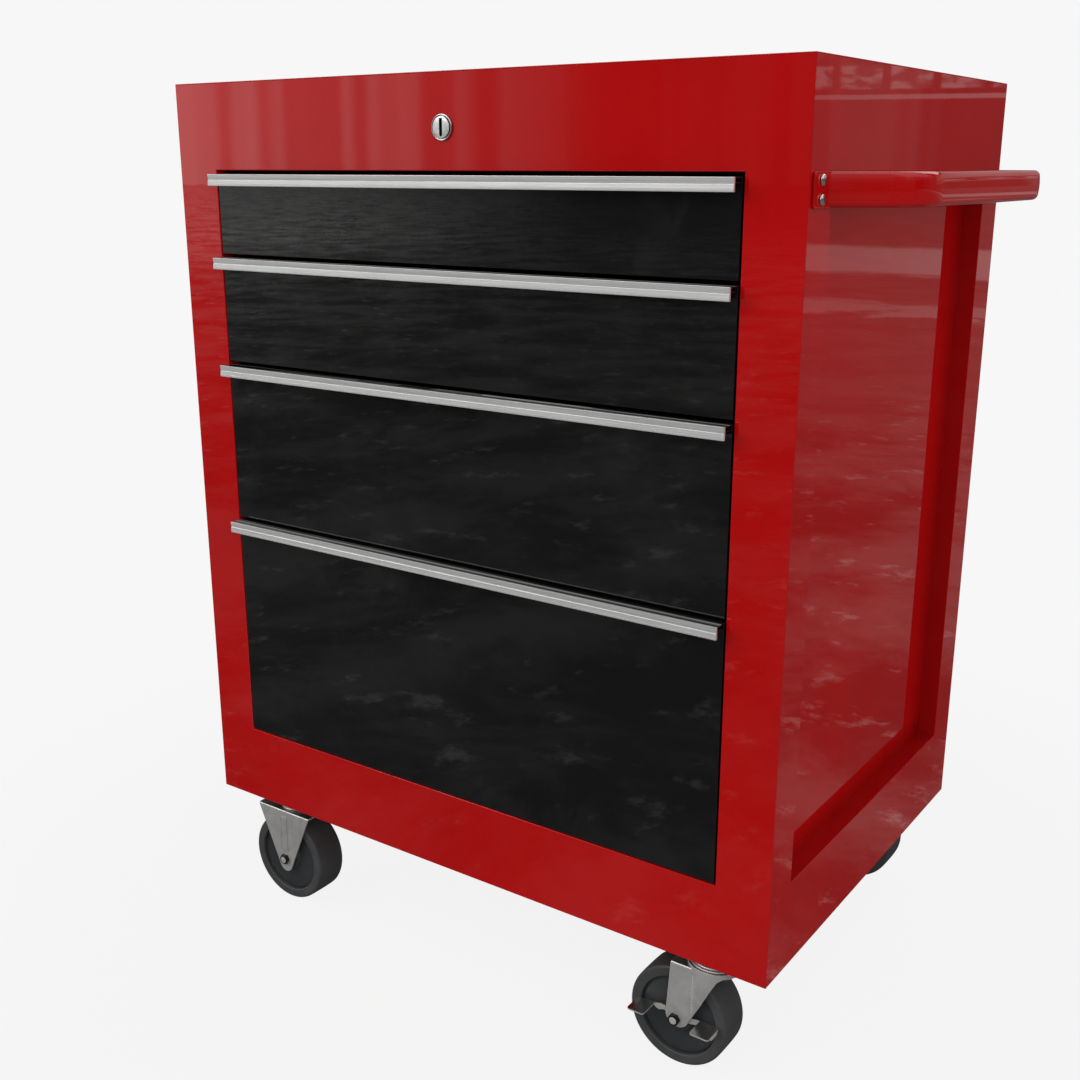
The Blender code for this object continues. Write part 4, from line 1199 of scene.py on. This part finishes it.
def casters():
    """Rigid casters on the left, braked swivel casters on the right."""
    for end, row_y in CASTER_ROWS:
        tag = "caster_" + end + "_left"
        wheel(tag, LEFT_AXLE_X, row_y, "wheel_" + end + "_left")
        rigid_fork(tag, LEFT_AXLE_X, row_y)
        axle(tag, LEFT_AXLE_X, row_y, RIGID_CHEEK_Y, "cabinet")
    for end, row_y in CASTER_ROWS:
        side = end + "_right"
        tag = "caster_" + side
        wheel(tag, RIGHT_AXLE_X, row_y, "wheel_" + side)
        swivel_fork(tag, row_y, "swivel_" + side)
        swivel_plate(tag, row_y)
        axle(tag, RIGHT_AXLE_X, row_y, SWIVEL_CHEEK_Y, "swivel_" + side)
        brake(tag, RIGHT_AXLE_X, row_y, "brake_" + side)


def carried():
    """CAD pieces that keep their mesh and only get a finished material."""
    for name, ob in frame["nodes"].items():
        if "_rail_" in name or name in ("lock_cam", "lock_bar"):
            paint(ob, (RAIL,), lambda q, normal: 0)
        elif name == "lock_nut":
            paint(ob, (STEEL,), lambda q, normal: 0)


# ======================================================================= floor
BACKDROP = (0.930, 0.930, 0.930)      # what the camera sees behind and below


def floor_tone(g, azimuth, distance, at):
    """Brightness of the floor in reflections, by place."""
    def clear_of_left():      # falls to nothing due left
        return g.ease(azimuth, over=(-3.12, -2.75))
    stain = g.noise(scale=2.1, detail=12.0, rough=0.68, warp=0.35)
    scuff = g.noise(scale=9.0, detail=10.0, rough=0.7)
    tone = g.add(g.ease(stain, over=(0.38, 0.62), to=(0.050, 0.185)),
                 g.ease(scuff, over=(0.56, 0.67), to=(0.0, 0.25)))
    # in front, brighter far off to the left and darker far off elsewhere
    lift_gain, far_gain = 2.3, 2.7
    front = g.math("LESS_THAN", azimuth, 0.0)
    left = g.mul(g.ease(azimuth, over=(-2.42, -2.10), to=(1.0, 0.0)), clear_of_left())
    lift = g.mul(g.mul(left, g.ease(distance, over=(1.5, 13.0))), lift_gain)
    drop = g.mul(g.inverse(left), g.ease(distance, over=(7.0, 19.0), to=(0.0, 0.62)))
    far = g.mul(g.mul(g.ease(azimuth, over=(-2.38, -2.12), to=(1.0, 0.0)),
                      g.ease(distance, over=(9.0, 16.0))), far_gain)
    far = g.mul(far, clear_of_left())
    drop = g.mul(drop, clear_of_left())
    change = g.add(g.math("SUBTRACT", lift, drop), far)
    gain = g.add(1.0, g.mul(front, change))
    # two bright wavy strips across the floor behind, on the handle's side
    waviness, wide_level, narrow_level = 1.6, 0.30, 0.20
    y = g.add(at["Y"], g.mul(stain, waviness))
    wide = g.mul(g.ease(y, over=(9.3, 9.9)), g.ease(y, over=(12.6, 13.4), to=(1.0, 0.0)))
    narrow = g.mul(g.ease(y, over=(6.75, 6.95)), g.ease(y, over=(7.35, 7.65), to=(1.0, 0.0)))
    strips = g.mul(g.add(g.mul(wide, wide_level), g.mul(narrow, narrow_level)),
                   g.ease(at["X"], over=(0.5, 1.5)))
    # far off behind, on the handle's side, the tone is evener
    even_tone = 0.135
    calm = g.mul(g.ease(azimuth, over=(0.2, 0.6)),
                 g.ease(distance, over=(1.6, 4.5), to=(0.0, 0.72)))
    tone = g.add(g.outside(tone, calm), g.mul(calm, even_tone))
    return g.math("MULTIPLY_ADD", tone, gain, strips)


def floor_material():
    """Plain and pale to the camera, duller and mottled in reflections."""
    material = bpy.data.materials.new("studio_floor")
    material.use_nodes = True
    tree = material.node_tree
    tree.nodes.clear()
    g = Graph(tree, spare=None)
    g.vector = g.node("ShaderNodeNewGeometry").outputs["Position"]
    ray = g.node("ShaderNodeLightPath").outputs
    distance = g.node("ShaderNodeVectorMath", {0: g.vector}, operation="LENGTH").outputs["Value"]
    # near the cabinet a little real shading is mixed in, to hold its shadow
    shading = g.ease(distance, over=(0.35, 1.3), to=(0.06, 0.0))
    white = g.node("ShaderNodeEmission", {"Color": BACKDROP}).outputs[0]
    pale = g.node("ShaderNodeBsdfDiffuse", {"Color": (0.80, 0.80, 0.80)}).outputs[0]
    seen = g.mix_shader(shading, white, pale)
    at = g.node("ShaderNodeSeparateXYZ", {0: g.vector}).outputs
    azimuth = g.math("ARCTAN2", at["Y"], at["X"])
    tone = floor_tone(g, azimuth, distance, at)
    reflected = g.node("ShaderNodeEmission", {"Color": (1.0, 0.985, 0.965),
                                              "Strength": tone}).outputs[0]
    bounce = g.node("ShaderNodeBsdfDiffuse", {"Color": (0.40, 0.395, 0.39)}).outputs[0]
    unseen = g.mix_shader(ray["Is Glossy Ray"], bounce, reflected)
    g.node("ShaderNodeOutputMaterial", {0: g.mix_shader(ray["Is Camera Ray"], unseen, seen)})
    return material


def floor():
    """A disc of rings round the origin, just below the frame (metres)."""
    n = 96
    z = CAD_BOX[0][2] - 0.0005
    bm = bmesh.new()
    centre = bm.verts.new((0, 0, z))
    rows = [[bm.verts.new((r * math.cos(2 * math.pi * i / n), r * math.sin(2 * math.pi * i / n),
                           z)) for i in range(n)] for r in (1.2, 2.4, 6.0, 20.0, 60.0)]
    for i in range(n):
        bm.faces.new((centre, rows[0][i], rows[0][(i + 1) % n]))
    for a, b in zip(rows, rows[1:]):
        for i in range(n):
            j = (i + 1) % n
            bm.faces.new((a[i], b[i], b[j], a[j]))
    for face in bm.faces:
        if face.normal.z < 0:
            face.normal_flip()
    mesh = bpy.data.meshes.new("floor")
    bm.to_mesh(mesh)
    bm.free()
    ob = link("floor", mesh)
    mesh.materials.append(floor_material())


# ======================================================================= world
KEY_RANGE = (0.75, 1.15)                # sky level away from and towards the key side
SKY_GLOSS, SKY_DIFFUSE = 1.15, 0.98     # sky level in reflections and as light


def hall_windows(g, azimuth, z):
    """Low row of lit panes, a sill under it and a framed roof, on the handle's side."""
    pane_grid = g.node("ShaderNodeCombineXYZ", {0: g.mul(azimuth, 60.0), 1: g.mul(z, 140.0)})
    panes = g.noise(detail=5.0, vec=pane_grid.outputs[0], dims="2D")
    posts_per_radian, sill_level = 29.0, 0.30
    bay = g.math("FRACT", g.mul(azimuth, posts_per_radian))
    post = g.mul(g.ease(bay, over=(0.03, 0.06)), g.ease(bay, over=(0.86, 0.89), to=(1.0, 0.0)))
    pane = g.mul(post, g.ease(panes, over=(0.42, 0.62), to=(0.06, 0.36)))
    row = g.mul(g.ease(z, over=(0.0515, 0.0530)),
                g.ease(z, over=(0.0665, 0.0690), to=(1.0, 0.15)))
    sill = g.mul(g.ease(z, over=(0.0450, 0.0458)),
                 g.ease(z, over=(0.0480, 0.0490), to=(1.0, 0.0)))
    side = g.mul(g.ease(azimuth, over=(0.75, 0.85)),
                 g.ease(azimuth, over=(1.75, 1.95), to=(1.0, 0.0)))
    roof_grid = g.node("ShaderNodeCombineXYZ", {0: g.mul(azimuth, 9.0), 1: g.mul(z, 16.0)})
    members = g.cells(vec=roof_grid.outputs[0], feature="DISTANCE_TO_EDGE", dims="2D")
    roof = g.mul(g.mul(g.ease(z, over=(0.072, 0.09)), g.ease(z, over=(0.30, 0.40), to=(1.0, 0.0))),
                 g.ease(members, over=(0.014, 0.05), to=(0.0, 0.26)))
    return g.mul(side, g.add(g.add(g.mul(row, pane), roof), g.mul(sill, sill_level)))


def hall_horizon(g, azimuth, z):
    """Dim hall with uprights, open and bright on the left of the front."""
    bands_per_radian, hall_level, seam_level = 13.0, 1.0, 0.8
    bands = g.noise(detail=3.0, rough=0.6, vec=g.mul(azimuth, bands_per_radian), dims="1D")
    upright = g.ease(bands, over=(0.42, 0.60), to=(0.50, 1.12))
    left = g.mul(g.ease(azimuth, over=(-2.42, -2.10), to=(1.25, 0.10)), hall_level)
    left = g.mul(left, g.ease(azimuth, over=(-2.60, -2.45), to=(0.4, 1.0)))
    left = g.mul(left, g.ease(azimuth, over=(-3.13, -2.75), to=(0.28, 1.0)))
    # the uprights fade out where the azimuth wraps round
    seam = g.ease(g.math("ABSOLUTE", azimuth), over=(2.75, 3.05))
    upright = g.add(g.outside(upright, seam), g.mul(seam, seam_level))
    behind = g.mul(g.ease(azimuth, over=(0.0, 0.6), to=(0.0, 0.14)),
                   g.ease(z, over=(0.32, 0.42), to=(1.0, 0.15)))
    front = g.math("LESS_THAN", azimuth, 0.0)
    return g.mul(g.add(g.mul(left, front), g.outside(behind, front)), upright)


def roof_beams(g, azimuth, z):
    """Dark beams across the lower sky, and a dimmer sector on the front right."""
    members = g.cells(vec=g.stretch(5.0, 5.0, 2.2), feature="DISTANCE_TO_EDGE")
    beams = g.ease(members, over=(0.010, 0.060), to=(0.35, 1.0))
    high = g.ease(z, over=(0.55, 0.75))
    beams = g.add(g.outside(beams, high), high)
    dim = g.mul(g.ease(azimuth, over=(-1.25, -1.0), to=(0.0, 0.62)),
                g.ease(azimuth, over=(-0.45, -0.2), to=(1.0, 0.0)))
    return g.outside(beams, dim)


def world():
    """Even backdrop for the camera, soft overhead light and a hall for everything else."""
    studio = bpy.data.worlds.new("studio")
    SCENE.world = studio
    studio.use_nodes = True
    tree = studio.node_tree
    tree.nodes.clear()
    g = Graph(tree)
    g.vector = g.node("ShaderNodeTexCoord").outputs["Generated"]
    ray = g.node("ShaderNodeLightPath").outputs
    at = g.node("ShaderNodeSeparateXYZ", {0: g.vector}).outputs
    x, y, z = at["X"], at["Y"], at["Z"]
    azimuth = g.math("ARCTAN2", y, x)      # radians
    # the sky is stronger from the front and the left
    left_share, front_share = -0.35, -0.55
    facing = g.add(g.mul(x, left_share), g.mul(y, front_share))
    key = g.ease(facing, over=(-0.65, 0.65), to=KEY_RANGE)
    # the sky starts higher up behind, on the handle's side
    handle_side = g.mul(g.ease(azimuth, over=(0.55, 0.80)),
                        g.ease(azimuth, over=(1.75, 1.95), to=(1.0, 0.0)))
    up = g.add(g.outside(g.ease(z, over=(0.10, 0.46)), handle_side),
               g.mul(g.ease(z, over=(0.60, 0.90)), handle_side))
    horizon = hall_horizon(g, azimuth, z)
    windows = hall_windows(g, azimuth, z)
    sky = g.mul(g.mul(g.mul(up, key), SKY_GLOSS), roof_beams(g, azimuth, z))
    reflected = g.add(g.outside(g.add(horizon, windows), up), sky)
    lighting = g.mul(g.ease(z, over=(0.05, 0.90), to=(1.0, 0.42)), g.mul(key, SKY_DIFFUSE))
    glossy = ray["Is Glossy Ray"]
    level = g.add(g.mul(reflected, glossy), g.outside(lighting, glossy))
    light = g.node("ShaderNodeBackground", {"Color": (1.0, 0.995, 0.985), "Strength": level})
    backdrop = g.node("ShaderNodeBackground", {"Color": BACKDROP, "Strength": 1.0})
    g.node("ShaderNodeOutputWorld", {0: g.mix_shader(ray["Is Camera Ray"], light.outputs[0],
                                                     backdrop.outputs[0])})


# =========================================================== lights and camera
def softbox(name, place, target, size, watts):
    light = bpy.data.lights.new(name, "AREA")
    light.shape = "RECTANGLE"
    light.size, light.size_y = size
    light.energy = watts
    light.color = (1, 1, 1)
    ob = link(name, light)
    ob.location = place
    aim = Vector(target) - Vector(place)
    ob.rotation_euler = aim.to_track_quat("-Z", "Y").to_euler()
    return ob


def lights():
    softbox("key_softbox", place=(-2.2, -2.8, 2.8), target=(0, 0, 0.45), size=(2.6, 2.0),
            watts=40)
    fill = softbox("fill_softbox", place=(3.0, -2.0, 2.2), target=(0.1, 0, 0.45),
                   size=(3.6, 3.2), watts=33)
    fill.visible_glossy = False
    softbox("back_softbox", place=(0.8, 3.0, 3.2), target=(0, 0, 0.5), size=(2.4, 1.6),
            watts=24)


def camera():
    """Looks at the front and the handle's side from a little above."""
    place = Vector((1.08095, -0.91259, 0.68496))      # metres from the cabinet's corner
    tilt, turn = 74.0, 35.0                           # degrees
    data = bpy.data.cameras.new("camera")
    ob = link("camera", data)
    ob.location = LO + place
    ob.rotation_euler = (math.radians(tilt), 0.0, math.radians(turn))
    data.lens = 43.456
    data.sensor_width = 36.0
    data.clip_end = 200.0
    SCENE.camera = ob
    SCENE.view_settings.view_transform = "Standard"
    SCENE.view_settings.look = "None"


shell()
handle()
handle_screws()
lock()
drawers()
casters()
carried()
floor()
world()
lights()
camera()
